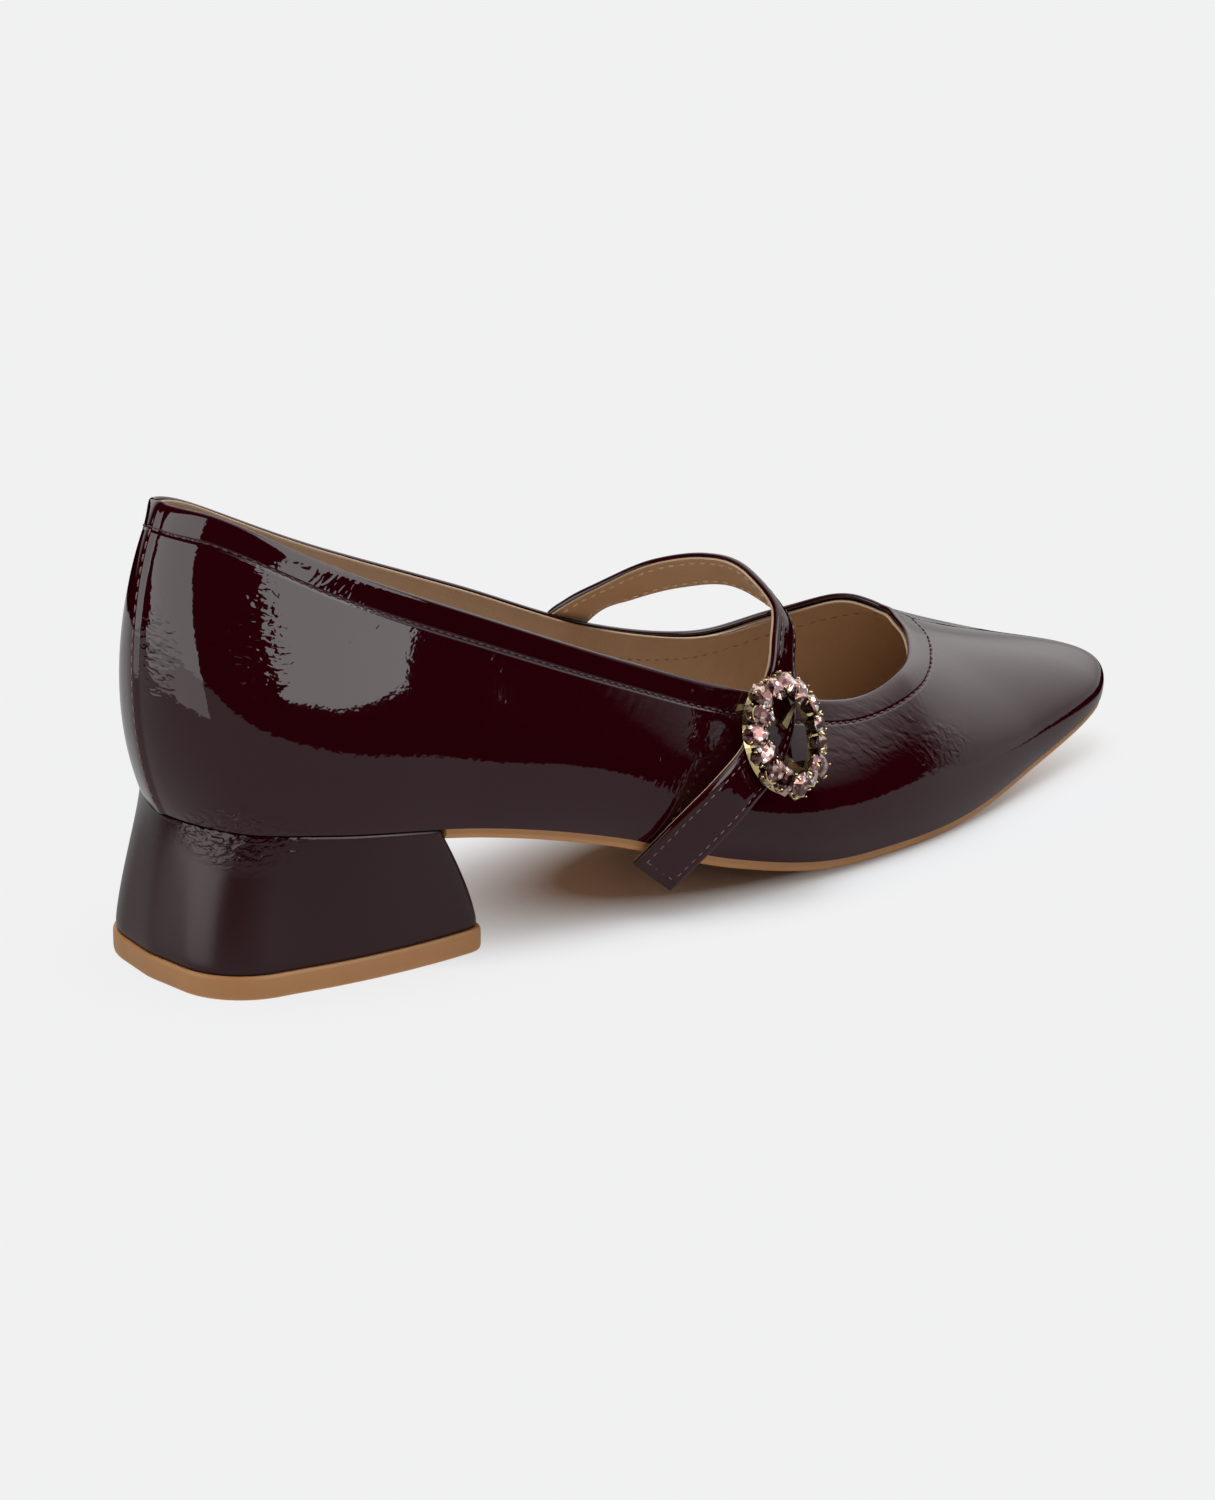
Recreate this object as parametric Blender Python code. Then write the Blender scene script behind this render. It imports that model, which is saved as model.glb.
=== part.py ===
"""Right shoe of a pointed-toe mary-jane pump on a low block heel.

Frame: +Z up, +Y to the toe, +X to the outer side of the foot, floor at z = 0.
The origin is the centre of the top lift's resting face. Sizes below are in
millimetres and are turned into metres where the meshes are made.
"""
import math
from collections import namedtuple

import bmesh
import bpy
import numpy as np

MM = 0.001

# Driving dimensions
FIT_GAP = 0.3            # clearance between neighbouring pieces
WALL = 1.8               # outer leather and lining together
SOLE_THICKNESS = 2.2
INSOLE_THICKNESS = 2.5
INSOLE_SHARE = 0.985     # the insole's tip is cut just short of the toe
LIFT_THICKNESS = 4.8
UPPER_COLUMNS = 41       # columns of points on each side, from back to toe
UPPER_ROWS = 10
SOLE_COLUMNS = 30
SOLE_BACK_SLANT = 1.9    # the sole's lower edge starts this far in front of its upper edge
HEEL_COLUMNS = 24
BREAST_ALONG = 19.0      # front of the heel at its top
LIFT_HALF_BACK = 25.8    # half widths and length of the heel where it meets the lift
LIFT_HALF_FRONT = 27.2
LIFT_LENGTH = 63.0
LIFT_CORNER = 16.0
LIFT_BACK_ROUND = 1.0
LIFT_SIDE_SWELL = 1.9
LIFT_FRONT_CHAMFER = (2.4, 0.6)
HEEL_INSET = 0.5         # the heel's foot stands inside the lift's edge
HEEL_LAYERS = 7
HEEL_FLARE = 1.35         # above 1, the sides swell outwards on the way down from the seat
STRAP_WIDTH = 11.0
STRAP_THICKNESS = 1.9

# Height of the upper's lower edge along the shoe: heel seat, arch, flat tread, toe spring
SeatRow = namedtuple("SeatRow", "place along height")
SEAT = [
    SeatRow("back", -36.0, 33.5),
    SeatRow("seat", -6.0, 32.0),
    SeatRow("seat front", 30.0, 27.0),
    SeatRow("waist", 60.0, 19.0),
    SeatRow("arch", 89.0, 9.0),
    SeatRow("ball", 116.0, 3.3),
    SeatRow("tread back", 134.0, 2.5),
    SeatRow("tread front", 158.0, 2.5),
    SeatRow("toe joint", 188.0, 6.0),
    SeatRow("toe", 228.0, 12.0),
]

# Sections round the shoe, from the centre of the back to the tip of the toe.
# share: place along the lower edge. foot: the lower edge. top: the collar's edge.
# bulge and rise: the side's swell and height near the sole.
# reach: the collar's pull towards the lower edge. drop: its pull downwards.
Section = namedtuple(
    "Section", "place share foot_x foot_y top_x top_y top_z bulge rise reach drop")
OUTER_SIDE = [
    Section("back", 0.0, 0.0, -26.5, 0.0, -23.5, 95.0, 10.5, 21.5, 0.19, 4.5),
    Section("back corner", 0.075, 17.0, -22.5, 12.0, -20.0, 94.5, 8.5, 22.0, 0.15, 14.0),
    Section("seat", 0.19, 28.5, -6.5, 23.5, -2.0, 84.5, 6.0, 17.5, 0.08, 15.5),
    Section("seat front", 0.36, 32.0, 29.0, 28.0, 33.0, 68.5, 3.5, 14.0, 0.05, 14.0),
    Section("waist", 0.47, 32.0, 61.0, 28.5, 64.0, 55.0, 6.0, 11.5, 0.05, 12.0),
    Section("joint", 0.58, 34.5, 89.0, 27.5, 97.0, 42.0, 6.0, 11.5, 0.05, 10.0),
    Section("ball", 0.68, 34.5, 114.5, 25.5, 125.0, 34.5, 5.0, 11.5, 0.12, 4.0),
    Section("vamp", 0.79, 29.0, 150.0, 21.5, 143.5, 36.5, 3.5, 9.0, 0.29, 0.0),
    Section("toe side", 0.89, 16.0, 187.0, 11.0, 154.0, 39.5, 2.5, 10.0, 0.34, 5.0),
    Section("toe corner", 0.965, 0.5, 221.0, 2.5, 158.0, 41.0, 2.0, 11.5, 0.37, 10.5),
    Section("toe", 1.0, -8.0, 228.0, -3.0, 159.5, 42.0, 3.0, 13.0, 0.38, 14.5),
]
INNER_SIDE = [
    OUTER_SIDE[0],
    Section("back corner", 0.075, -19.0, -20.5, -12.0, -19.5, 93.0, 7.0, 23.5, 0.16, 14.0),
    Section("seat", 0.19, -25.0, -7.0, -24.5, -5.5, 88.0, 3.0, 18.5, 0.10, 15.0),
    Section("seat front", 0.36, -26.5, 30.0, -29.5, 31.0, 71.0, 2.5, 14.5, 0.05, 14.0),
    Section("waist", 0.47, -24.0, 60.0, -30.0, 65.5, 57.0, 5.5, 12.0, 0.05, 12.0),
    Section("joint", 0.58, -26.0, 90.0, -31.0, 100.0, 42.5, 6.0, 11.5, 0.05, 10.0),
    Section("ball", 0.68, -32.5, 120.0, -30.0, 127.0, 36.0, 5.0, 11.5, 0.15, 3.5),
    Section("vamp", 0.79, -32.5, 155.0, -24.5, 146.5, 38.5, 4.0, 8.0, 0.28, 0.5),
    Section("toe side", 0.89, -22.0, 190.0, -15.5, 156.5, 42.5, 3.0, 9.5, 0.31, 6.0),
    Section("toe corner", 0.965, -11.5, 222.0, -8.0, 159.0, 42.5, 2.5, 12.0, 0.35, 11.0),
    OUTER_SIDE[-1],
]

# Strap's middle line from the inner quarter, over the instep and through the buckle to
# its free end: a point on the line, then the direction that its outer face looks in.
PathRow = namedtuple("PathRow", "place x y z facing_x facing_y facing_z")
STRAP_PATH = [
    PathRow("sewn end", -33.8, 90.0, 30.0, -1.0, 0.0, 0.0),
    PathRow("inner quarter", -33.9, 93.0, 37.5, -1.0, 0.0, 0.1),
    PathRow("inner collar", -33.2, 95.3, 43.2, -0.88, 0.1, 0.4),
    PathRow("inner rise", -30.0, 97.3, 46.8, -0.55, 0.18, 0.72),
    PathRow("inner shoulder", -21.5, 100.5, 51.8, -0.36, 0.28, 0.67),
    PathRow("inner crown", -9.5, 105.0, 57.5, -0.16, 0.46, 0.6),
    PathRow("crown", 3.5, 109.0, 60.5, 0.07, 0.55, 0.55),
    PathRow("outer crown", 15.0, 109.5, 59.5, 0.31, 0.64, 0.44),
    PathRow("outer shoulder", 23.0, 110.0, 54.5, 0.51, 0.63, 0.41),
    PathRow("outer rise", 27.0, 107.0, 48.5, 0.64, 0.56, 0.37),
    PathRow("outer collar", 29.7, 104.3, 41.9, 0.76, 0.38, 0.34),
    PathRow("buckle", 33.2, 100.3, 36.4, 0.8, 0.21, 0.28),
    PathRow("behind buckle", 37.2, 93.3, 30.8, 0.84, 0.03, 0.14),
    PathRow("tail", 40.5, 83.7, 25.9, 0.85, -0.12, 0.02),
    PathRow("low tail", 38.0, 75.3, 17.9, 0.82, -0.27, -0.03),
    PathRow("free end", 32.5, 69.0, 9.0, 0.8, -0.26, -0.08),
]
STRAP_STEPS = 61

# Buckle: its own axes run sideways, lengthwise and outward from its centre on the quarter
BUCKLE_CENTRE = (31.5, 97.3, 32.2)
BUCKLE_OUTWARD = (0.91, 0.25, 0.34)
BUCKLE_LENGTHWISE = (-0.35, 0.15, 0.95)
RING_HALF_WIDTH = 10.3
RING_HALF_LENGTH = 10.7
RING_LEVEL = 5.4         # underside of the rail above the centre on the quarter
RAIL_STEPS = 64
RAIL_FOOT = 1.3          # half widths of the rail's lower and upper face
RAIL_CROWN = 1.0
RAIL_HEIGHT = 1.2
BAR_LEVEL = 1.8
BAR_HEIGHT = 0.75
BAR_HALF = 0.9
BAR_REACH = 10.4         # half length of the bar
BAR_LEG = 1.5            # thickness of its upturned ends
PRONG_TURN = math.radians(39.0)
PRONG_HALF = 0.9
PRONG_TIP_HALF = 0.4
PRONG_HOLE_ALONG = 3.1   # the strap's hole, from the buckle's centre along the prong
PRONG_HOLE_RADIUS = 1.35
PRONG_LOW = 1.6
PRONG_THICKNESS = 0.8
PRONG_TIP = 8.3
TAB_SHARES = (0.577, 0.608)
TAB_HEIGHTS = (0.58, 0.82)
TAB_STEPS = 5
TAB_THICKNESS = 0.45

# Cups and stones of the rim: (radius, height) pairs from the cup's foot
RIM_STONES = 15
RIM_SHIFTS = (-0.25, 0.45)  # the stones stand in turn inside and outside the oval
RIM_SIDES = 8
CUP_PROFILE = [(1.5, 0.0), (2.0, 0.9), (2.0, 2.5), (1.65, 2.5), (1.5, 1.4)]
STONE_PROFILE = [(0.9, 1.7), (1.2, 2.1), (1.85, 2.8), (1.85, 3.1), (1.2, 3.8)]


def smooth(knots, values, at, first=None, last=None):
    """Smooth curve through the values, with its slopes taken from the neighbours."""
    knots = np.asarray(knots, float)
    values = np.asarray(values, float)
    at = np.asarray(at, float)
    steps = np.diff(knots)
    rises = np.diff(values) / steps
    slopes = np.empty_like(values)
    slopes[1:-1] = (rises[:-1] * steps[1:] + rises[1:] * steps[:-1]) / (steps[:-1] + steps[1:])
    slopes[0] = rises[0] if first is None else first
    slopes[-1] = rises[-1] if last is None else last
    cell = np.clip(np.searchsorted(knots, at, side="right") - 1, 0, len(steps) - 1)
    t = (at - knots[cell]) / steps[cell]
    start = (2 * t**3 - 3 * t**2 + 1) * values[cell] + (t**3 - 2 * t**2 + t) * steps[cell] * slopes[cell]
    end = (3 * t**2 - 2 * t**3) * values[cell + 1] + (t**3 - t**2) * steps[cell] * slopes[cell + 1]
    return start + end


def seat_height(along):
    """Height of the upper's lower edge at a place along the shoe."""
    return smooth([row.along for row in SEAT], [row.height for row in SEAT], along, last=0.15)


def section_values(side, share):
    """Every column of the side's table at the given shares, smooth across back and toe."""
    twin = INNER_SIDE if side is OUTER_SIDE else OUTER_SIDE
    knots = [row.share for row in side]
    found = {}
    for column in Section._fields[2:]:
        values = [getattr(row, column) for row in side]
        first = last = 0.0
        if column in ("foot_x", "top_x"):
            first = values[1] / knots[1]
            last = (getattr(twin[-2], column) - values[-2]) / (2 * (knots[-1] - knots[-2]))
        found[column] = smooth(knots, values, share, first, last)
    return found


def foot_outline(side, share):
    """Points of the upper's lower edge, and the level directions that point out of the shoe."""
    turn = 1.0 if side is OUTER_SIDE else -1.0
    values = section_values(side, share)
    along = values["foot_y"]
    points = np.stack([values["foot_x"], along, seat_height(along)], 1)
    near = 0.001
    ahead = section_values(side, np.minimum(share + near, 1.0))
    behind = section_values(side, np.maximum(share - near, 0.0))
    run_x = ahead["foot_x"] - behind["foot_x"]
    run_y = ahead["foot_y"] - behind["foot_y"]
    outward = np.stack([run_y, -run_x, np.zeros_like(run_x)], 1) * turn
    outward /= np.linalg.norm(outward, axis=1)[:, None]
    return points, outward


def skin(side, share, heights):
    """Outer face of the upper: one curve for each share, rising from lower edge to collar."""
    values = section_values(side, share)
    foot, outward = foot_outline(side, share)
    top = np.stack([values["top_x"], values["top_y"], values["top_z"]], 1)
    up = np.array([0.0, 0.0, 1.0])
    bulge = values["bulge"][:, None]
    low_handle = foot + outward * bulge + up * values["rise"][:, None]
    inward = (foot - top) * [1.0, 1.0, 0.0]
    high_handle = top + inward * values["reach"][:, None] - up * values["drop"][:, None]
    high_handle = high_handle + outward * bulge * 0.5
    t = np.asarray(heights, float)[None, :, None]
    foot, low_handle, high_handle, top = (
        each[:, None, :] for each in (foot, low_handle, high_handle, top))
    return ((1 - t)**3 * foot + 3 * (1 - t)**2 * t * low_handle
            + 3 * (1 - t) * t**2 * high_handle + t**3 * top)


def material(name, colour, roughness, metallic=0.0):
    """Plain Principled material."""
    made = bpy.data.materials.new(name)
    made.use_nodes = True
    shader = made.node_tree.nodes["Principled BSDF"]
    shader.inputs["Base Color"].default_value = (*colour, 1.0)
    shader.inputs["Roughness"].default_value = roughness
    shader.inputs["Metallic"].default_value = metallic
    return made


def make_object(name, points, faces, look, sharp_degrees=40.0):
    """One closed body from points in millimetres."""
    mesh = bpy.data.meshes.new(name)
    body = bmesh.new()
    corners = [body.verts.new(np.asarray(point) * MM) for point in points]
    for face in faces:
        body.faces.new([corners[index] for index in face])
    bmesh.ops.remove_doubles(body, verts=body.verts, dist=0.005 * MM)
    bmesh.ops.dissolve_degenerate(body, edges=body.edges, dist=0.005 * MM)
    bmesh.ops.recalc_face_normals(body, faces=body.faces)
    if body.calc_volume(signed=True) < 0.0:
        bmesh.ops.reverse_faces(body, faces=body.faces)
    body.to_mesh(mesh)
    body.free()
    mesh.materials.append(look)
    mesh.shade_smooth()
    mesh.set_sharp_from_angle(angle=math.radians(sharp_degrees))
    made = bpy.data.objects.new(name, mesh)
    bpy.context.scene.collection.objects.link(made)
    return made


def loft_faces(rings, count, wrap_rings=False):
    """Quads between closed rings of count points each."""
    faces = []
    for ring in range(rings if wrap_rings else rings - 1):
        low = ring * count
        high = (ring + 1) % rings * count
        for step in range(count):
            following = (step + 1) % count
            faces.append((low + step, low + following, high + following, high + step))
    return faces


def stack_object(name, layers, look):
    """Closed body from layers, bottom first: each layer is an outer and an inner edge.

    Both edges run the same way along the shoe, and the lowest and highest layers
    are closed by strips across the shoe.
    """
    points = []
    faces = []
    count = len(layers[0][0])
    ring = 2 * count
    for outer, inner in layers:
        points.extend(outer)
        points.extend(inner[::-1])
    faces.extend(loft_faces(len(layers), ring))
    for base in (0, (len(layers) - 1) * ring):
        for step in range(count - 1):
            faces.append((base + step, base + step + 1,
                          base + ring - 2 - step, base + ring - 1 - step))
    return make_object(name, points, faces, look)


def spread_shares(count):
    """Shares from back to toe, closer together round the back and round the toe."""
    step = np.linspace(0.0, 1.0, count)
    return step - 0.09 * np.sin(2 * np.pi * step) * step


def build_upper(look):
    """Hollow shell: outer face up to the collar, over the edge and down the lining."""
    shares = spread_shares(UPPER_COLUMNS)
    heights = np.linspace(0.0, 1.0, UPPER_ROWS)
    outer = skin(OUTER_SIDE, shares, heights)
    inner = skin(INNER_SIDE, shares, heights)
    ring = np.concatenate([outer, inner[-2:0:-1]])
    around = np.roll(ring, -1, axis=0) - np.roll(ring, 1, axis=0)
    rising = np.gradient(ring, axis=1)
    outward = np.cross(around, rising)
    outward /= np.linalg.norm(outward, axis=2)[:, :, None]
    level = outward[:, 0] * [1.0, 1.0, 0.0]
    outward[:, 0] = level / np.linalg.norm(level, axis=1)[:, None]
    lining = ring - outward * WALL
    count = len(ring)
    points = []
    for row in range(UPPER_ROWS):
        points.extend(ring[:, row])
    for row in reversed(range(UPPER_ROWS)):
        points.extend(lining[:, row])
    faces = loft_faces(2 * UPPER_ROWS, count, wrap_rings=True)
    return make_object("upper", points, faces, look)


def inset_edges(shares, inset, lower):
    """Outer and inner edges of a piece under or inside the upper."""
    edges = []
    for side in (OUTER_SIDE, INNER_SIDE):
        points, outward = foot_outline(side, shares)
        edge = points - outward * inset
        edge[:, 2] = seat_height(edge[:, 1]) - lower
        edges.append(edge)
    return edges


def build_insole(look):
    """Board and sock that fill the foot opening inside the walls."""
    shares = spread_shares(UPPER_COLUMNS) * INSOLE_SHARE
    clear = WALL + 2 * FIT_GAP
    low = inset_edges(shares, clear, 0.0)
    high = inset_edges(shares, clear + 0.4, -INSOLE_THICKNESS)
    return stack_object("insole", [low, high], look)


def share_at(side, along):
    """Share whose lower edge lies at a place along the shoe."""
    shares = np.linspace(0.0, 1.0, 801)
    places = section_values(side, shares)["foot_y"]
    return float(np.interp(along, places, shares))


def tread_height(edge, lower):
    """The edge lowered below the upper, and flat on the floor where it would pass it."""
    lowered = edge.copy()
    lowered[:, 2] = np.maximum(seat_height(edge[:, 1]) - lower, 0.0)
    return lowered


def build_outsole(look):
    """Thin sole from the heel's breast to the toe, flat on the floor under the tread."""
    steps = np.linspace(0.0, 1.0, SOLE_COLUMNS)
    low_edges = []
    high_edges = []
    for side in (OUTER_SIDE, INNER_SIDE):
        start = share_at(side, BREAST_ALONG + FIT_GAP)
        shares = start + (1.0 - start) * (steps - 0.08 * np.sin(2 * np.pi * steps) * steps)
        points, outward = foot_outline(side, shares)
        high = points - outward * 0.2
        high[:, 2] = seat_height(high[:, 1]) - FIT_GAP
        low = points - outward * 0.9
        low[0, 1] = high[0, 1] + SOLE_BACK_SLANT
        low_edges.append(tread_height(low, FIT_GAP + SOLE_THICKNESS))
        high_edges.append(high)
    return stack_object("outsole", [low_edges, high_edges], look)


def resample(points, count):
    """Points at even distances along a line of points."""
    points = np.asarray(points, float)
    lengths = np.linalg.norm(np.diff(points, axis=0), axis=1)
    travelled = np.concatenate([[0.0], np.cumsum(lengths)])
    wanted = np.linspace(0.0, travelled[-1], count)
    return np.stack([np.interp(wanted, travelled, points[:, axis]) for axis in range(3)], 1)


def lift_edge(turn, inset, height, count=HEEL_COLUMNS):
    """One side of the heel's footprint, from the centre of the back to the front corner."""
    half_back = LIFT_HALF_BACK - inset
    half_front = LIFT_HALF_FRONT - inset
    back = -LIFT_LENGTH / 2 + inset
    front = LIFT_LENGTH / 2 - inset
    radius = LIFT_CORNER - inset
    line = [(0.0, back)]
    for angle in np.radians(np.linspace(-90.0, 0.0, 9)):
        line.append((half_back - radius + radius * math.cos(angle),
                     back + LIFT_BACK_ROUND + radius + radius * math.sin(angle)))
    start = line[-1]
    for t in np.linspace(0.2, 0.94, 5):
        swell = 4 * LIFT_SIDE_SWELL * t * (1 - t)
        line.append((start[0] + (half_front - start[0]) * t + swell,
                     start[1] + (front - start[1]) * t))
    wide, narrow = LIFT_FRONT_CHAMFER
    line.append((half_front - narrow, front - narrow))
    line.append((half_front - wide, front))
    edge = resample([(x * turn, y, height) for x, y in line], count)
    return edge


def build_top_lift(look):
    """Wearing layer that the heel rests on."""
    low = [lift_edge(turn, 0.4, 0.0) for turn in (1, -1)]
    rim = [lift_edge(turn, 0.0, 0.5) for turn in (1, -1)]
    high = [lift_edge(turn, 0.1, LIFT_THICKNESS) for turn in (1, -1)]
    return stack_object("top_lift", [low, rim, high], look)


def build_heel(look):
    """Block heel: flared loft from the lift up to the seat, with a slanting breast."""
    bottoms = [lift_edge(turn, HEEL_INSET, LIFT_THICKNESS + FIT_GAP) for turn in (1, -1)]
    tops = []
    for side in (OUTER_SIDE, INNER_SIDE):
        shares = np.linspace(0.0, share_at(side, BREAST_ALONG), 40)
        points, outward = foot_outline(side, shares)
        edge = points - outward * 0.2
        corner = edge[-1] * [0.94, 1.0, 1.0]
        edge = resample(np.vstack([edge[:-1], corner]), HEEL_COLUMNS)
        edge[:, 2] = seat_height(edge[:, 1]) - FIT_GAP
        tops.append(edge)
    layers = []
    for level in np.linspace(0.0, 1.0, HEEL_LAYERS):
        blend = level ** HEEL_FLARE
        layer = []
        for bottom, top in zip(bottoms, tops):
            edge = bottom + (top - bottom) * [[blend, blend, level]]
            layer.append(edge)
        layers.append(layer)
    return stack_object("heel", layers, look)


def strap_frames():
    """Points on the strap's middle line with its across and facing directions."""
    rows = np.array([row[1:] for row in STRAP_PATH], float)
    lengths = np.linalg.norm(np.diff(rows[:, :3], axis=0), axis=1)
    knots = np.concatenate([[0.0], np.cumsum(lengths)])
    at = np.linspace(0.0, knots[-1], STRAP_STEPS)
    columns = np.stack([smooth(knots, rows[:, column], at) for column in range(6)], 1)
    middle = columns[:, :3]
    facing = columns[:, 3:]
    along = np.gradient(middle, axis=0)
    along /= np.linalg.norm(along, axis=1)[:, None]
    across = np.cross(along, facing)
    across /= np.linalg.norm(across, axis=1)[:, None]
    facing = np.cross(across, along)
    return middle, across, facing


def build_strap(look):
    """Instep strap as one bent band, from the inner quarter through the buckle to its end."""
    middle, across, facing = strap_frames()
    half = STRAP_WIDTH / 2
    thick = STRAP_THICKNESS / 2
    outline = [(half, 0.35 * thick), (half - 0.5, thick), (-half + 0.5, thick), (-half, 0.35 * thick),
               (-half, -thick), (half, -thick)]
    points = []
    for step in range(STRAP_STEPS):
        for side, height in outline:
            points.append(middle[step] + across[step] * side + facing[step] * height)
    count = len(outline)
    faces = loft_faces(STRAP_STEPS, count)
    faces.append(tuple(range(count)))
    faces.append(tuple(range((STRAP_STEPS - 1) * count, STRAP_STEPS * count)))
    strap = make_object("strap", points, faces, look)
    place = on_prong_line([(0.0, PRONG_HOLE_ALONG, 0.0)])[0]
    ends = [(PRONG_HOLE_RADIUS, level) for level in (0.5, RING_LEVEL)]
    cutter = turned_object("hole_cutter", ends, 12, place, look)
    combine(strap, [cutter], "DIFFERENCE")
    return strap


def buckle_axes():
    """The buckle's centre on the strap and its directions: sideways, lengthwise, outward."""
    outward = np.array(BUCKLE_OUTWARD, float)
    outward /= np.linalg.norm(outward)
    lengthwise = np.array(BUCKLE_LENGTHWISE, float)
    lengthwise -= outward * np.dot(lengthwise, outward)
    lengthwise /= np.linalg.norm(lengthwise)
    sideways = np.cross(lengthwise, outward)
    return np.array(BUCKLE_CENTRE, float), sideways, lengthwise, outward


def on_buckle(points):
    """Points of the buckle's own axes placed on the shoe, in millimetres."""
    centre, sideways, lengthwise, outward = buckle_axes()
    points = np.asarray(points, float)
    return centre + points[:, :1] * sideways + points[:, 1:2] * lengthwise + points[:, 2:] * outward


def ring_place(turn, radius_shift=0.0):
    """Point and outward direction on the ring's oval middle line at a turn of 0 to 1."""
    angle = 2 * math.pi * turn
    point = np.array([RING_HALF_WIDTH * math.cos(angle), RING_HALF_LENGTH * math.sin(angle)])
    normal = np.array([RING_HALF_LENGTH * math.cos(angle), RING_HALF_WIDTH * math.sin(angle)])
    normal /= np.linalg.norm(normal)
    return point + normal * radius_shift, normal


def even_turns(count):
    """Turns that give evenly spaced places along the oval."""
    turns = np.linspace(0.0, 1.0, 721)
    places = np.array([ring_place(turn)[0] for turn in turns])
    travelled = np.concatenate([[0.0], np.cumsum(np.linalg.norm(np.diff(places, axis=0), axis=1))])
    wanted = (np.arange(count) + 0.5) / count * travelled[-1]
    return np.interp(wanted, travelled, turns)


def turned_points(profile, sides):
    """Rings of a turned shape about the local Z axis, from (radius, height) pairs."""
    points = []
    for radius, height in profile:
        for step in range(sides):
            angle = 2 * math.pi * (step + 0.5) / sides
            points.append((radius * math.cos(angle), radius * math.sin(angle), height))
    return np.array(points)


def turned_object(name, profile, sides, place, look, sharp_degrees=20.0):
    """Closed turned shape: its first and last rings are filled."""
    points = turned_points(profile, sides) + np.array(place)
    faces = loft_faces(len(profile), sides)
    faces.append(tuple(range(sides)))
    last = (len(profile) - 1) * sides
    faces.append(tuple(range(last, last + sides)))
    return make_object(name, on_buckle(points), faces, look, sharp_degrees)


def combine(keeper, others, operation):
    """Boolean of closed bodies with the first, which stays."""
    for other in others:
        step = keeper.modifiers.new(operation.lower(), "BOOLEAN")
        step.operation = operation
        step.solver = "EXACT"
        step.object = other
        other.hide_render = True
        other.display_type = "WIRE"


def build_buckle_frame(look):
    """Oval rail with a cup for each rim stone."""
    rail_points = []
    for turn in np.linspace(0.0, 1.0, RAIL_STEPS, endpoint=False):
        _, normal = ring_place(turn)
        for side, height in ((-RAIL_FOOT, 0.0), (RAIL_FOOT, 0.0),
                             (RAIL_CROWN, RAIL_HEIGHT), (-RAIL_CROWN, RAIL_HEIGHT)):
            place, _ = ring_place(turn, side)
            rail_points.append((place[0], place[1], RING_LEVEL + height))
    faces = loft_faces(RAIL_STEPS, 4, wrap_rings=True)
    frame = make_object("buckle_frame", on_buckle(rail_points), faces, look)
    cups = []
    for index, turn in enumerate(even_turns(RIM_STONES)):
        place, _ = ring_place(turn, RIM_SHIFTS[index % 2])
        cups.append(turned_object(f"cup_{index + 1:02d}", CUP_PROFILE, RIM_SIDES,
                                  (place[0], place[1], RING_LEVEL + FIT_GAP), look))
    combine(frame, cups, "UNION")
    return frame


def on_prong_line(points):
    """Points of (across, along, level) on the prong's own line, given in the buckle's axes."""
    across, along, level = np.asarray(points, float).T
    return np.stack([across * math.cos(PRONG_TURN) + along * math.sin(PRONG_TURN),
                     along * math.cos(PRONG_TURN) - across * math.sin(PRONG_TURN), level], 1)


def plate_object(name, near, far, faces, look):
    """Closed plate between two like outlines, whose flat sides are split into convex faces."""
    count = len(near)
    sides = list(faces) + [tuple(index + count for index in reversed(face)) for face in faces]
    points = on_buckle(on_prong_line(near + far))
    return make_object(name, points, sides + loft_faces(2, count), look)


def build_buckle_bar(look):
    """Bar under the strap, square to the prong and bent up at both ends to the rail."""
    top = RING_LEVEL - FIT_GAP
    inner = BAR_REACH - BAR_LEG
    step = BAR_LEVEL + BAR_HEIGHT
    outline = [(-BAR_REACH, top), (-BAR_REACH, BAR_LEVEL), (BAR_REACH, BAR_LEVEL), (BAR_REACH, top),
               (inner, top), (inner, step), (-inner, step), (-inner, top)]
    near, far = ([(side, along, level) for side, level in outline] for along in (-BAR_HALF, BAR_HALF))
    return plate_object("buckle_bar", near, far, [(0, 1, 6, 7), (1, 2, 5, 6), (2, 3, 4, 5)], look)


def build_buckle_tab(look):
    """Short leather pad that follows the quarter's skin and carries the buckle's bar."""
    shares = np.linspace(*TAB_SHARES, TAB_STEPS)
    heights = np.linspace(*TAB_HEIGHTS, TAB_STEPS)
    patch = skin(OUTER_SIDE, shares, heights)
    normal = np.cross(np.gradient(patch, axis=0), np.gradient(patch, axis=1))
    normal /= np.linalg.norm(normal, axis=2)[:, :, None]
    points = []
    faces = []
    for level in (FIT_GAP, FIT_GAP + TAB_THICKNESS):
        base = len(points)
        points.extend((patch + normal * level).reshape(-1, 3))
        for row in range(TAB_STEPS - 1):
            for step in range(TAB_STEPS - 1):
                corner = base + row * TAB_STEPS + step
                faces.append((corner, corner + 1, corner + TAB_STEPS + 1, corner + TAB_STEPS))
    rim = [step for step in range(TAB_STEPS)]
    rim += [row * TAB_STEPS + TAB_STEPS - 1 for row in range(1, TAB_STEPS)]
    rim += [TAB_STEPS * TAB_STEPS - 1 - step for step in range(1, TAB_STEPS)]
    rim += [row * TAB_STEPS for row in range(TAB_STEPS - 2, 0, -1)]
    lift = TAB_STEPS * TAB_STEPS
    for here, following in zip(rim, rim[1:] + rim[:1]):
        faces.append((here, following, following + lift, here + lift))
    return make_object("buckle_tab", points, faces, look)


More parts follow.
